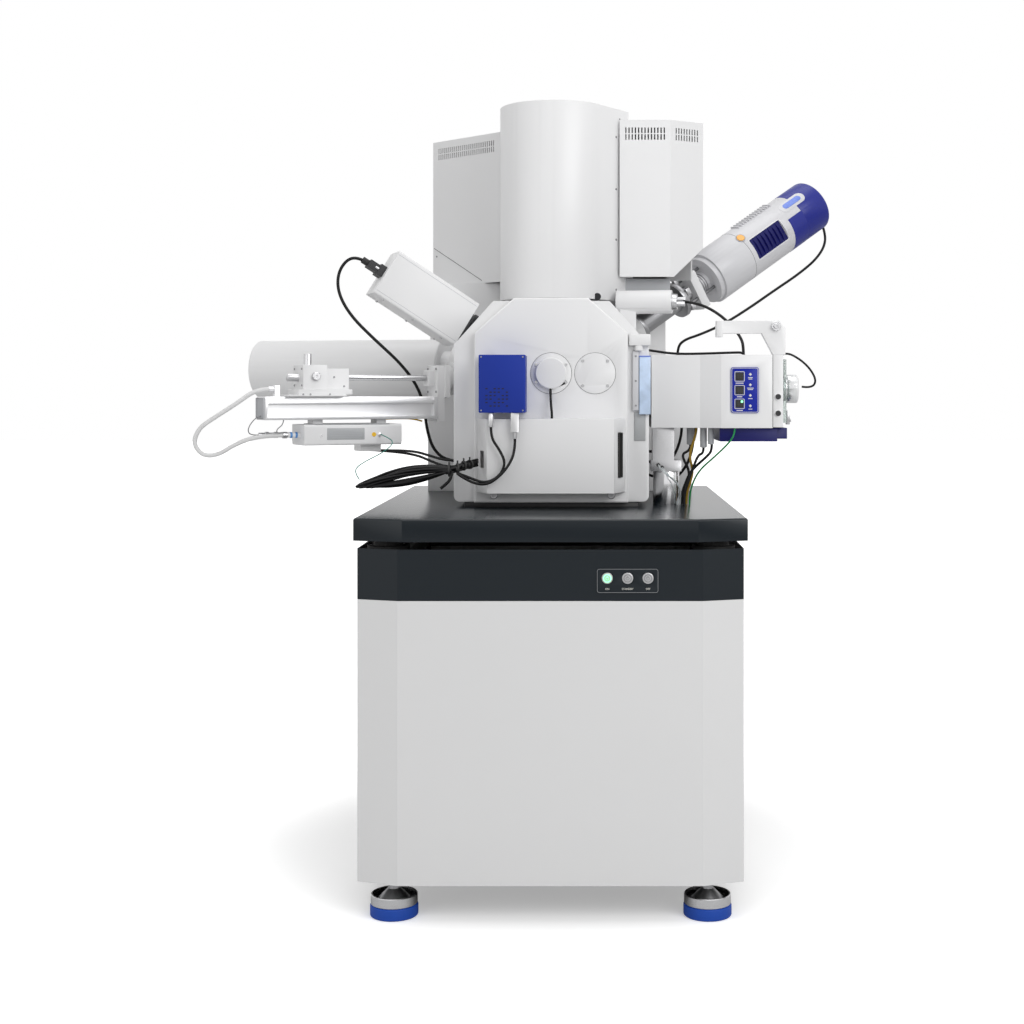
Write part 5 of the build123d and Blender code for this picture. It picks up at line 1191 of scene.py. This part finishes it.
@dataclass
class XrayDetails:
    """Button, inset, ribs and seams of the X-ray detector, in its own axes.

    Attributes:
        radius: radius of the housing.
        inset_r: distance of the inset's middle along the axis.
        inset_angle: its angle in degrees from the front side upwards.
        window_r: distance of the louvre window's middle.
        window_angle: angle of the window.
        rib_r: distance of the first rib.
        rib_pitch: distance between two ribs.
    """

    radius: float = 72.0
    inset_r: float = 877.0
    inset_angle: float = 47.8
    window_r: float = 743.0
    window_angle: float = 8.0
    rib_r: float = 704.0
    rib_pitch: float = 10.5

    def around(self, shell: Shell, r: float, degrees: float) -> Shell:
        """Turn a shell drawn along +x out of the housing at an angle from the front side, and move it along.

        Args:
            shell: shell whose x axis is the surface normal.
            r: distance out along the detector's axis.
            degrees: angle from the front side upwards.

        Returns:
            The moved shell.
        """
        t = math.radians(degrees)
        normal = np.array([0.0, -math.cos(t), math.sin(t)])
        along = np.array([1.0, 0.0, 0.0])
        turn = np.stack([normal, along, np.cross(normal, along)])
        return (shell[0] @ turn + np.array([r, 0, 0]) + normal * self.radius, shell[1])

    def build(self) -> None:
        """Build every piece."""
        place = XRAY_PORT.place
        piece("xray_button", [self.around(stud(11.0, 3.0, 1.2), 672.5, 47.6)], ORANGE, XRAY, place)
        piece("xray_button_rim", [self.around(ring_band(11.2, 13.4, -1.0, 1.6), 672.5, 47.6)], LABEL, XRAY,
              place)
        piece("xray_inset", [self.pill(33.0, 8.5, 2.0)], PALE_BLUE, XRAY, place)
        piece("xray_inset_rim", [self.pill(46.0, 17.0, 0.9)], SILVER, XRAY, place)
        piece("xray_blue_wrap", [self.bent_patch(826.0, 880.0, -150.0, 20.0, 0.5)], CAP_BLUE, XRAY, place)
        mid = 770.0
        starts = [self.rib_r + self.rib_pitch * i - mid for i in range(13)]
        ribs = [self.around(slab(-1.5, 4.0, r - 2.2, r + 2.2, -16, 16, 1.0, 0.6), mid, 88.0)
                for r in starts]
        piece("xray_ribs", ribs, SILVER, XRAY, place)
        piece("xray_seam", [moved(ring_band(71.6, 72.25, -0.5, 0.5, 96), 669.0)], SEAM, XRAY, place)
        piece("xray_window_line", [self.window_line()], WHITE, XRAY, place)
        rings = [ring_band(25.0, 27.5, x, x + 3.0) for x in (506.0, 513.0, 520.0, 527.0)]
        piece("xray_bellows", rings, GREY_STEEL, XRAY, place)
        bolts = [moved(stud(4.0, 5.0, 0.8, 2.0), 500.0, y, z) for y in (-33.0, 33.0) for z in (-43.0, 43.0)]
        piece("xray_plate_bolts", bolts, STEEL, place=place)
        clamp = slab(-7.0, 7.0, -6.0, 6.0, -9.0, 9.0, 2.0, 1.0)
        clamps = [moved(clamp, 452.0, 44.0 * math.cos(a), 44.0 * math.sin(a))
                  for a in np.radians([100, 160, 220, 280, 340, 40])]
        piece("xray_clamps", clamps, STEEL, place=place)

    def pill(self, half_length: float, half_width: float, proud: float) -> Shell:
        """Long round-ended inset bent to the housing: angle and distance of a pill outline, raised."""
        outline = rounded_rectangle(2 * half_length, 2 * half_width, half_width - 0.1, 9)
        middle = math.radians(self.inset_angle)
        rows = []
        for shrink, lift in ((1.0, -1.5), (1.0, proud * 0.6), (0.93, proud), (0.0, proud)):
            rr = self.inset_r + outline[:, 0] * shrink
            tt = middle + outline[:, 1] / self.radius * shrink
            radius = self.radius + lift
            rows.append(np.column_stack([rr, -radius * np.cos(tt), radius * np.sin(tt)]))
        return grid_shell(np.stack(rows), False, True, True)

    def bent_patch(self, r0: float, r1: float, a0: float, a1: float, lift: float) -> Shell:
        """Sheet bent to the housing between two distances and two angles, in degrees from the front."""
        t = np.radians(np.linspace(a0, a1, 49))
        rows = [np.column_stack([np.full(len(t), r), -(self.radius + h) * np.cos(t),
                                 (self.radius + h) * np.sin(t)])
                for r, h in ((r0, -1.5), (r0, lift), (r1, lift), (r1, -1.5))]
        return grid_shell(np.stack(rows), True, False, False)

    def window_line(self) -> Shell:
        """Raised rim round the louvre window, bent to the housing."""
        inner = rounded_rectangle(119.0, 61.0, 5.0, 7)
        outer = rounded_rectangle(124.0, 66.0, 8.0, 7)
        rows = []
        for outline, lift in ((outer, -1.0), (outer, 0.6), (inner, 0.6), (inner, -9.0)):
            t = math.radians(self.window_angle) + outline[:, 1] / self.radius
            radius = self.radius + lift
            rows.append(np.column_stack([self.window_r + outline[:, 0], -radius * np.cos(t),
                                         radius * np.sin(t)]))
        return grid_shell(np.stack(rows), True, True, False)


@dataclass
class AirlockDetails:
    """Panel prints, bolts, end parts and stand fittings of the sample airlock.

    Attributes:
        face_y: front face of the airlock's nearer half.
        key_z: heights of the three keys.
        key_x: middle of the keys.
        lamp_x: middle of the lamps and their labels.
        lamp_rows: height and label half width of each lamp.
    """

    face_y: float = -330.0
    key_z: tuple[float, float, float] = (1118.2, 1087.0, 1055.8)
    key_x: float = 424.0
    lamp_x: float = 448.5
    lamp_rows: tuple[tuple[float, float], ...] = ((1123.0, 5.5), (1099.0, 7.5), (1075.0, 5.0),
                                                  (1051.0, 4.5))

    def build(self) -> None:
        """Build every piece."""
        self.panel()
        self.end()
        self.stand()

    def panel(self) -> None:
        """Border, key frames, lamps and label bars."""
        y = self.face_y - 3.0
        keys = [(self.key_x, y, z) for z in self.key_z]
        c = math.cos(math.pi / 4)
        eighth_turn = np.array([[c, c, 0], [-c, c, 0], [0, 0, 1]])
        diamond = moved(slab(-2.6, 2.6, -2.6, 2.6, 0, 0.5, 0.6, 0.15), turn=eighth_turn)

        def bar(half: float, x: float, z: float, thick: float = 0.8) -> Shell:
            """Make a flat printed bar."""
            return flat_front(slab(-half, half, -thick, thick, 0, 0.25, 0.4, 0.1), x, y, z)

        print_shells = [flat_front(frame_line(61.0, 102.0, 5.0, 1.1, 0.25), 436.0, y, self.key_z[1])]
        print_shells += [flat_front(frame_line(23.0, 23.0, 2.5, 1.3, 0.5), *key) for key in keys]
        print_shells += [flat_front(diamond, self.lamp_x, y, z) for z, _ in self.lamp_rows]
        print_shells += [bar(w, self.key_x, z - 15.2, 1.0) for z, w in zip(self.key_z, (9, 6, 7))]
        for z, w in self.lamp_rows:
            print_shells.append(bar(w, self.lamp_x, z - 7.4))
            if w > 5:
                print_shells.append(bar(w * 0.8, self.lamp_x, z - 10.6))
        piece("lock_panel_print", print_shells, CREAM)
        strokes = [slab(-6.6, 6.6, d - 0.3, d + 0.3, 0, 0.2, 0.1, 0.05) for d in (-2.2, 2.2)]
        strokes += [slab(d - 0.3, d + 0.3, -6.6, 6.6, 0, 0.2, 0.1, 0.05) for d in (-2.2, 2.2)]
        for body, (x, _, z) in zip(("lock_key_top", "lock_key_middle", "lock_key_bottom"), keys):
            piece(body + "_grid", [flat_front(s, x, y - 2.2, z) for s in strokes], DARK_GREY, body)
        corner = flat_front(slab(2.6, 7.6, 2.6, 7.6, 0, 0.5, 1.2, 0.2), self.key_x, y - 2.2, self.key_z[2])
        piece("lock_key_lamp", [corner], LIT_GREEN, "lock_key_bottom")

    def end(self) -> None:
        """Dark seam, bolts, clear plate, chrome ring and latch on the right end."""
        piece("lock_seam", [slab(499.6, 500.9, -330.4, -306.0, 1002.0, 1167.0, 0.3, 0.1)], SEAM)
        bolts = [facing_front(stud(6.4, 1.8, 0.6, 3.4), 512.0, self.face_y - 5.0, z)
                 for z in (1072.0, 1034.0)]
        piece("lock_bolts", bolts, DARK_GREY)
        heads = (stud(11.0, 2.0, 0.8), stud(6.0, 5.0, 0.8, 3.0))
        arm_bolt = [facing_front(head, 508.0, self.face_y, 1233.5) for head in heads]
        piece("arm_bolt", arm_bolt, STEEL)
        piece("clear_end_plate", [slab(524.3, 533.0, -320.0, -180.0, 1012.0, 1158.0, 3.0, 1.0)], CLEAR)
        latch = [slab(533.2, 541.0, -316.0, -298.0, 1008.0, 1040.0, 2.0, 1.0),
                 slab(541.0, 544.5, -312.0, -302.0, 1014.0, 1022.0, 1.0, 0.5)]
        piece("lock_latch", latch, STEEL)
        ring = moved(ring_band(20.0, 29.0, 533.2, 541.0), 0, -250.0, 1090.0)
        piece("lock_camera_ring", [ring], CHROME)

    def stand(self) -> None:
        """Light strip, two black fittings and the hanging plugs under the airlock."""
        piece("stand_strip", [slab(240.5, 250.0, -276.6, -275.2, 926.0, 992.0, 0.6, 0.3)], FILM)
        fitting = stud(4.2, 14.0, 1.2)
        fittings = [facing_front(fitting, x, -284.6, z) for x, z in ((240.0, 914.0), (249.0, 908.0))]
        piece("stand_fittings", fittings, BLACK)
        plugs = [moved(stud(r, h, 1.5), x, y, 999.5, -AXIS_X_TO_Z * np.array([[1], [-1], [1]])) for x, y, r,
                 h in
                 ((346.0, -270.0, 8.0, 46.0), (362.0, -286.0, 7.0, 38.0), (318.0, -236.0, 9.0, 40.0))]
        piece("lock_plugs", plugs, LABEL)


@dataclass
class ProbeDetails:
    """Screws, plates and marks on the retractable probe, in its own axes.

    Attributes:
        unit_y: front side of the preamplifier unit and of the carriage's base.
        unit_z: height of the unit's plugs and earth parts.
        plug_y: lines of the hose's plug and of the lead's plug.
    """

    unit_y: float = 50.0
    unit_z: float = -132.0
    plug_y: tuple[float, float] = (14.0, -20.0)

    def build(self) -> None:
        """Build every piece."""
        self.carriage()
        self.unit()
        self.plugs()
        piece("preamp_lid", [slab(452.0, 630.0, -49.0, 49.0, -108.0, -106.6, 2.0, 0.4)], BRIGHT_GREY,
              place=PROBE_PORT.place)
        piece("rail_cap", [slab(744.8, 746.6, -33.0, 33.0, -94.0, -47.0, 3.0, 0.6)], LABEL,
              place=PROBE_PORT.place)
        flange = [moved(stud(3.0, 2.0, 0.5, 1.5), 327.2, y, z) for y in (-27.0, 27.0)
                  for z in (-33.0, 22.0)]
        piece("port_screws", flange, GREY_STEEL, place=PROBE_PORT.place)

    def side(self, shell: Shell, x: float, y: float, z: float) -> Shell:
        """Turn a shell's x axis to the probe's front side and move it."""
        return moved(shell, x, y, z, AXIS_X_TO_SIDE)

    def carriage(self) -> None:
        """Screws and front knob of the carriage."""
        small, tiny = stud(2.4, 1.4, 0.3, 1.2), stud(2.2, 1.2, 0.3, 1.1)
        screws = [self.side(small, x, 30.0, z) for x, z in ((581.0, 1.0), (557.0, -20.0))]
        screws += [self.side(tiny, x, self.unit_y, -38.6) for x in (660.0, 643.0, 597.0)]
        piece("carriage_screws", screws, GREY_STEEL, PROBE, PROBE_PORT.place)
        ends = [moved(stud(2.4, 1.6, 0.3, 1.2), 657.0, y, z) for y in (-30.0, 30.0) for z in (-18.0, 20.0)]
        piece("block_end_screws", ends, GREY_STEEL, PROBE, PROBE_PORT.place)
        knob = spin([(-0.5, 0.01), (-0.5, 9.0), (1.0, 9.0), (1.4, 8.2), (2.2, 8.2), (2.6, 9.4), (9.6, 9.4),
                     (10.6, 8.4),
                     (10.6, 3.0), (9.4, 2.4), (9.4, 0.01)], 28)
        collar = ring_band(9.3, 9.8, 3.4, 8.8)
        turned = [self.side(part, 628.0, 40.0, 3.0) for part in (knob, collar)]
        piece("front_knob", turned, STEEL, PROBE, PROBE_PORT.place)

    def unit(self) -> None:
        """Blank plate with bare lines, yellow mark and earth studs on the preamplifier unit."""
        place, z0 = PROBE_PORT.place, self.unit_z
        plate = moved(cushion_block((90.0, 27.0, 0.6), 1.5, 0.15), 559.0, self.unit_y, z0 + 2.0, FACE_SIDE)
        piece("blank_plate", [plate], BRIGHT_GREY, place=place)
        rows = ((-121.5, 60.0), (-126.0, 78.0), (-130.0, 74.0), (-134.0, 78.0), (-138.0, 66.0))
        lines = [moved(cushion_block((w, 1.3, 0.2), 0.4, 0.05), 559.0, self.unit_y + 0.45, z, FACE_SIDE)
                 for z, w in rows]
        piece("plate_lines", lines, LABEL, place=place)
        piece("earth_mark", [self.side(stud(5.2, 0.8, 0.3), 491.0, self.unit_y, z0)], YELLOW, place=place)
        studs = [self.side(stud(4.4, 4.0, 0.8), 477.0, self.unit_y, z0),
                 self.side(stud(2.2, 8.0, 0.4), 477.0, self.unit_y, z0),
                 self.side(stud(2.6, 1.2, 0.3, 1.2), 618.0, self.unit_y, z0 - 2.0)]
        piece("earth_stud", studs, CHROME, place=place)

    def plugs(self) -> None:
        """Plugs of the hose and the lead at the unit's outer end."""
        (hose_y, lead_y), z = self.plug_y, self.unit_z
        bands = [moved(ring_band(6.0, 6.9, x, x + 5.0), 0, hose_y, z) for x in (664.0, 676.0)]
        piece("plug_bands", bands, BLUE_BAND, place=PROBE_PORT.place)
        bodies = ((687.0, stud(5.6, 58.0, 1.2)), (700.0, stud(7.2, 9.0, 1.0)), (722.0, stud(7.4, 8.0, 1.0)))
        plugs = [moved(body, x, lead_y, z) for x, body in bodies]
        plugs.append(moved(ring_band(6.0, 7.6, 688.0, 698.0), 0, hose_y, z))
        piece("preamp_plugs", plugs, STEEL, place=PROBE_PORT.place)


@dataclass
class BoxDetails:
    """Screws, lid seam and plug shell of the box detector, in its own axes."""

    def build(self) -> None:
        """Build every piece."""
        place = BOX_PORT.place
        screws = [moved(stud(3.0, 3.2, 0.6, 1.4), r, y, -59.4, AXIS_X_TO_UNDER)
                  for r in (318.0, 400.0, 486.0) for y in (-34.0, 34.0)]
        piece("box_screws_under", screws, STEEL, place=place)
        seams = [slab(286.0, 513.0, 47.6, 48.3, z - 0.4, z + 0.4, 0.1, 0.05) for z in (-50.0, 50.0)]
        piece("box_seams", seams, LABEL, place=place)
        thumbs = [moved(stud(3.4, 9.0, 0.8), 531.0, y, 0.0) for y in (-17.5, 17.5)]
        piece("plug_screws", thumbs, STEEL, place=place)
        sleeve = moved(ring_band(5.2, 8.2, 0.0, 16.0), 557.0, 0, 0)
        piece("plug_sleeve", [sleeve], BLACK, place=place)


@dataclass
class ThinLeads:
    """Thin wires and leads that are in the scene alone."""

    def build(self) -> None:
        """Build every lead."""
        lock_foot = 1000.0
        table = TABLE_TOP_MM + 0.3
        rows = [
            ("tube_lead", 7.0, CABLE, [(312.0, -62.0, 1305.0), (330.0, -66.0, 1303.0),
                                       (364.0, -80.0, 1293.0), (398.0, -110.0, 1270.0),
                                       (425.0, -150.0, 1240.0), (444.0, -185.0, 1208.0),
                                       (446.0, -200.0, 1184.0), (446.0, -200.0, 1168.2)]),
            ("lock_top_lead", 6.0, CABLE, [(446.0, -215.0, 1168.2), (446.0, -215.0, 1176.0),
                                           (420.0, -205.0, 1176.0), (360.0, -170.0, 1174.5),
                                           (290.0, -120.0, 1174.5), (240.0, -96.0, 1182.0),
                                           (216.6, -90.0, 1186.0)]),
            ("lock_camera_lead", 5.0, CABLE, [(528.0, -256.0, 1168.2), (540.0, -256.0, 1176.0),
                                              (572.0, -254.0, 1160.0), (598.0, -252.0, 1136.0),
                                              (612.0, -250.0, 1108.0), (600.0, -250.0, 1092.0),
                                              (577.4, -250.0, 1095.0)]),
        ]
        bundle = (((364.0, -286.0), (296.0, -258.0), 38.0), ((346.0, -270.0), (301.0, -268.0), 46.0),
                  ((330.0, -262.0), (307.0, -258.0), 0.0), ((318.0, -236.0), (302.0, -249.0), 40.0))
        for k, ((x0, y0), (x1, y1), drop) in enumerate(bundle):
            top = lock_foot - drop
            points = [(x0, y0, top), (x0, y0, top - 14.0), (x0 - 8 - 5 * k, y0, 936.0),
                      (x1 + 22 - 3 * k, y1, 900.0), (x1 + 9, y1, 872.0), (x1, y1, 845.0), (x1, y1, table)]
            rows.append((f"lock_bundle_{k}", 6.0, YELLOW_WIRE if k == 2 else CABLE, points))
        rows += [
            ("green_lead", 4.0, GREEN_WIRE, [(414.0, -322.0, 1000.0), (412.0, -338.0, 985.0),
                                             (398.0, -338.0, 965.0), (368.0, -318.0, 934.0),
                                             (334.0, -296.0, 902.0), (318.0, -284.0, 868.0),
                                             (313.0, -277.0, 838.0), (313.0, -277.0, 821.3)]),
        ]
        for k, (x, z) in enumerate(((240.0, 914.0), (249.0, 908.0))):
            end = 291.0 - 6 * k
            points = [(x, -298.0, z), (x, -308.0, z - 2), (x + 14, -312.0, z - 18),
                      (286.0, -300.0 + 6 * k, 872.0), (292.0, -282.0 + 5 * k, 846.0), (end, -273.0, 832.0),
                      (end, -273.0, table)]
            rows.append((f"air_tube_{k}", 4.0, CLEAR_TUBE, points))
        rows += [
            ("loop_lead_a", 6.5, CABLE, [(300.0, -190.0, 1000.0), (300.0, -190.0, 980.0),
                                         (286.0, -186.0, 935.0), (262.0, -176.0, 905.0),
                                         (236.0, -170.0, 912.0), (216.5, -168.0, 918.0)]),
            ("loop_lead_b", 6.5, CABLE, [(330.0, -200.0, 1000.0), (330.0, -200.0, 976.0),
                                         (318.0, -192.0, 915.0), (284.0, -180.0, 872.0),
                                         (246.0, -160.0, 876.0), (216.5, -150.0, 886.0)]),
            ("loop_lead_c", 6.5, CABLE, [(276.0, -150.0, 1000.0), (276.0, -150.0, 984.0),
                                         (268.0, -140.0, 950.0), (244.0, -130.0, 936.0),
                                         (216.5, -126.0, 940.0)]),
        ]
        for name, diameter, finish, points in rows:
            self.lead(name, machine_route(points), diameter, finish)
        self.probe_leads()

    def probe_leads(self) -> None:
        """Leads of the probe's preamplifier: points in the probe's axes, then points in the machine's."""
        rows = (
            ("preamp_lead_a", 6.0, CABLE, "object", [(486.0, 8.0, -170.0), (468.0, 8.0, -171.0)],
             [(-330.0, -262.0, 946.0), (-282.0, -300.0, 934.0), (-250.0, -318.0, 926.0),
              (-228.4, -318.0, 926.0)]),
            ("preamp_lead_b", 6.0, CABLE, "object", [(486.0, -10.0, -170.0), (468.0, -10.0, -171.0)],
             [(-330.0, -246.0, 938.0), (-282.0, -280.0, 920.0), (-250.0, -298.0, 910.0),
              (-228.4, -298.0, 910.0)]),
            ("green_wire", 2.2, TEAL_WIRE, "bare", [(477.0, 58.0, -132.0), (474.0, 66.0, -134.0)],
             [(-366.0, -310.0, 968.0), (-386.0, -360.0, 946.0), (-420.0, -420.0, 928.0),
              (-438.0, -440.0, 914.0),
              (-436.0, -446.0, 900.0), (-428.0, -447.0, 889.0)]),
            ("grey_loop_a", 2.4, GREY_WIRE, "object",
             [(746.6, 8.0, -88.0), (756.0, 8.0, -90.0), (770.0, 4.0, -106.0), (774.0, -4.0, -122.0),
              (764.0, -14.0, -132.0), (744.8, -20.0, -132.0)], []),
            ("grey_loop_b", 2.4, GREY_WIRE, "object",
             [(700.0, 30.0, -97.2), (702.0, 32.0, -108.0), (716.0, 30.0, -118.0), (714.0, 24.0, -128.0),
              (700.0, 18.0, -125.6)], []),
            ("yellow_lead", 4.0, YELLOW, "bare",
             [(455.0, -48.0, -100.0), (440.0, -46.0, -98.5), (400.0, -40.0, -97.0), (360.0, -36.0, -97.5),
              (340.0, -34.0, -104.0)], []),
        )
        for name, diameter, finish, far_end, near, far in rows:
            route = np.vstack([PROBE_PORT.place(np.array(near)), machine_route(far).reshape(-1, 3)])
            self.lead(name, route, diameter, finish, far_end)

    def lead(self, name: str, route: Array, diameter: float, finish: Finish,
             far_end: str = "object") -> None:
        """Lay one thin limp lead along a route in the row frame."""
        Cord(name, route, diameter, MACHINE, finish, far_end=far_end, stiffness="limp").build()


# Studio

@dataclass
class Studio:
    """Camera, lamps and floor.

    Attributes:
        eye: camera position in machine millimetres.
        focal_px: focal length in pixels of the square picture.
        centre_px: where the level view axis meets the picture.
        picture: picture size in pixels.
        ambient: world strength for diffuse light.
        floor_half: half width of the floor in metres.
        lamps: name, place in machine millimetres, size in metres and power in watts.
    """

    eye: tuple[float, float, float] = (82.0, -3876.0, 1085.0)
    focal_px: float = 1550.0
    centre_px: tuple[float, float] = (590.0, 391.0)
    picture: float = 1024.0
    ambient: float = 0.43
    floor_half: float = 30.0
    lamps: tuple = field(default_factory=lambda: (
        ("key", (1900.0, -3000.0, 2500.0), 2.2, 57.0),
        ("fill", (-2500.0, -2600.0, 1500.0), 2.6, 16.0),
        ("top", (0.0, -200.0, 3900.0), 2.6, 36.0),
    ))

    def camera(self) -> None:
        """Set the camera at the photo's viewing point, level, with the frame shifted."""
        data = bpy.data.cameras.new("camera")
        data.sensor_width = 36.0
        data.lens = 36.0 * self.focal_px / self.picture
        data.shift_x = (self.picture / 2 - self.centre_px[0]) / self.picture
        data.shift_y = -(self.picture / 2 - self.centre_px[1]) / self.picture
        data.clip_end = 60.0
        camera = bpy.data.objects.new("camera", data)
        camera.location = Vector(at(*self.eye))
        camera.rotation_euler = (math.pi / 2, 0, 0)
        bpy.context.scene.collection.objects.link(camera)
        bpy.context.scene.camera = camera

    def light(self) -> None:
        """Hang soft area lamps and set the world."""
        target = Vector(at(0, 0, 900))
        for name, place, size, power in self.lamps:
            data = bpy.data.lights.new(name, "AREA")
            data.size = size
            data.energy = power
            lamp = bpy.data.objects.new(name, data)
            lamp.location = Vector(at(*place))
            lamp.rotation_euler = (target - lamp.location).to_track_quat("-Z", "Y").to_euler()
            bpy.context.scene.collection.objects.link(lamp)
        self.world()

    def world(self) -> None:
        """White to the camera and in reflections, and a softer white as light."""
        world = bpy.data.worlds.new("studio")
        bpy.context.scene.world = world
        world.use_nodes = True
        tree = world.node_tree
        background = tree.nodes["Background"]
        path = add_node(tree, "LightPath")
        seen, bare = add_node(tree, "Math", "MAXIMUM"), add_node(tree, "Math", "MAXIMUM")
        level = add_node(tree, "MapRange", values={"To Min": self.ambient, "To Max": 1.0})
        background.inputs["Color"].default_value = (1, 1, 1, 1)
        link_chain(
            tree,
            (path.outputs["Is Camera Ray"], bare.inputs[0]), (path.outputs["Is Transmission Ray"],
                                                              bare.inputs[1]),
            (bare.outputs[0], seen.inputs[0]), (path.outputs["Is Glossy Ray"], seen.inputs[1]),
            (seen.outputs[0], level.inputs["Value"]), (level.outputs[0], background.inputs["Strength"]),
        )

    def floor(self) -> None:
        """Flat pale floor whose glow for the camera grows to plain white away from the feet."""
        half = self.floor_half
        vertices = np.array([(-half, -half, 0), (half, -half, 0), (half, half, 0), (-half, half, 0)], float)
        sheet = new_mesh("studio_floor", vertices, [[0, 1, 2, 3]])
        made = bpy.data.materials.new("pale_floor")
        made.use_nodes = True
        tree = made.node_tree
        shader = tree.nodes["Principled BSDF"]
        set_sockets(shader, {
            "Base Color": (0.86, 0.86, 0.86, 1), "Roughness": 0.75, "Specular IOR Level": 0.1,
            "Emission Color": (1, 1, 1, 1),
        })
        coords, path = add_node(tree, "TexCoord"), add_node(tree, "LightPath")
        centre = add_node(tree, "VectorMath", "DISTANCE", {1: tuple(at(0, -130, 0) * np.array([1, 1, 0]))})
        far = add_node(tree, "MapRange", values={"From Min": 0.5, "From Max": 1.15, "To Min": 0.36,
                                                 "To Max": 1.0})
        far.interpolation_type = "SMOOTHSTEP"
        glow = add_node(tree, "Math", "MULTIPLY")
        link_chain(
            tree,
            (coords.outputs["Object"], centre.inputs[0]), (centre.outputs["Value"], far.inputs["Value"]),
            (path.outputs["Is Camera Ray"], glow.inputs[0]), (far.outputs["Result"], glow.inputs[1]),
            (glow.outputs[0], shader.inputs["Emission Strength"]),
        )
        sheet.data.materials.append(made)


def main() -> None:
    """Dress the nodes, add the pieces and the cords, and set up the studio."""
    logging.basicConfig(level=logging.INFO, format="%(message)s")
    bpy.context.scene.view_settings.view_transform = "Standard"
    NodeDresser(NODE_FINISHES).dress()
    studio = Studio()
    studio.camera()
    studio.light()
    studio.floor()
    Cables().build()
    for details in (PlinthDetails(), ColumnDetails(), DoorDetails(), XrayDetails(), AirlockDetails(),
                    ProbeDetails(),
                    BoxDetails(), ThinLeads()):
        log.info("building %s", type(details).__name__)
        details.build()


if __name__ == "__main__":
    main()
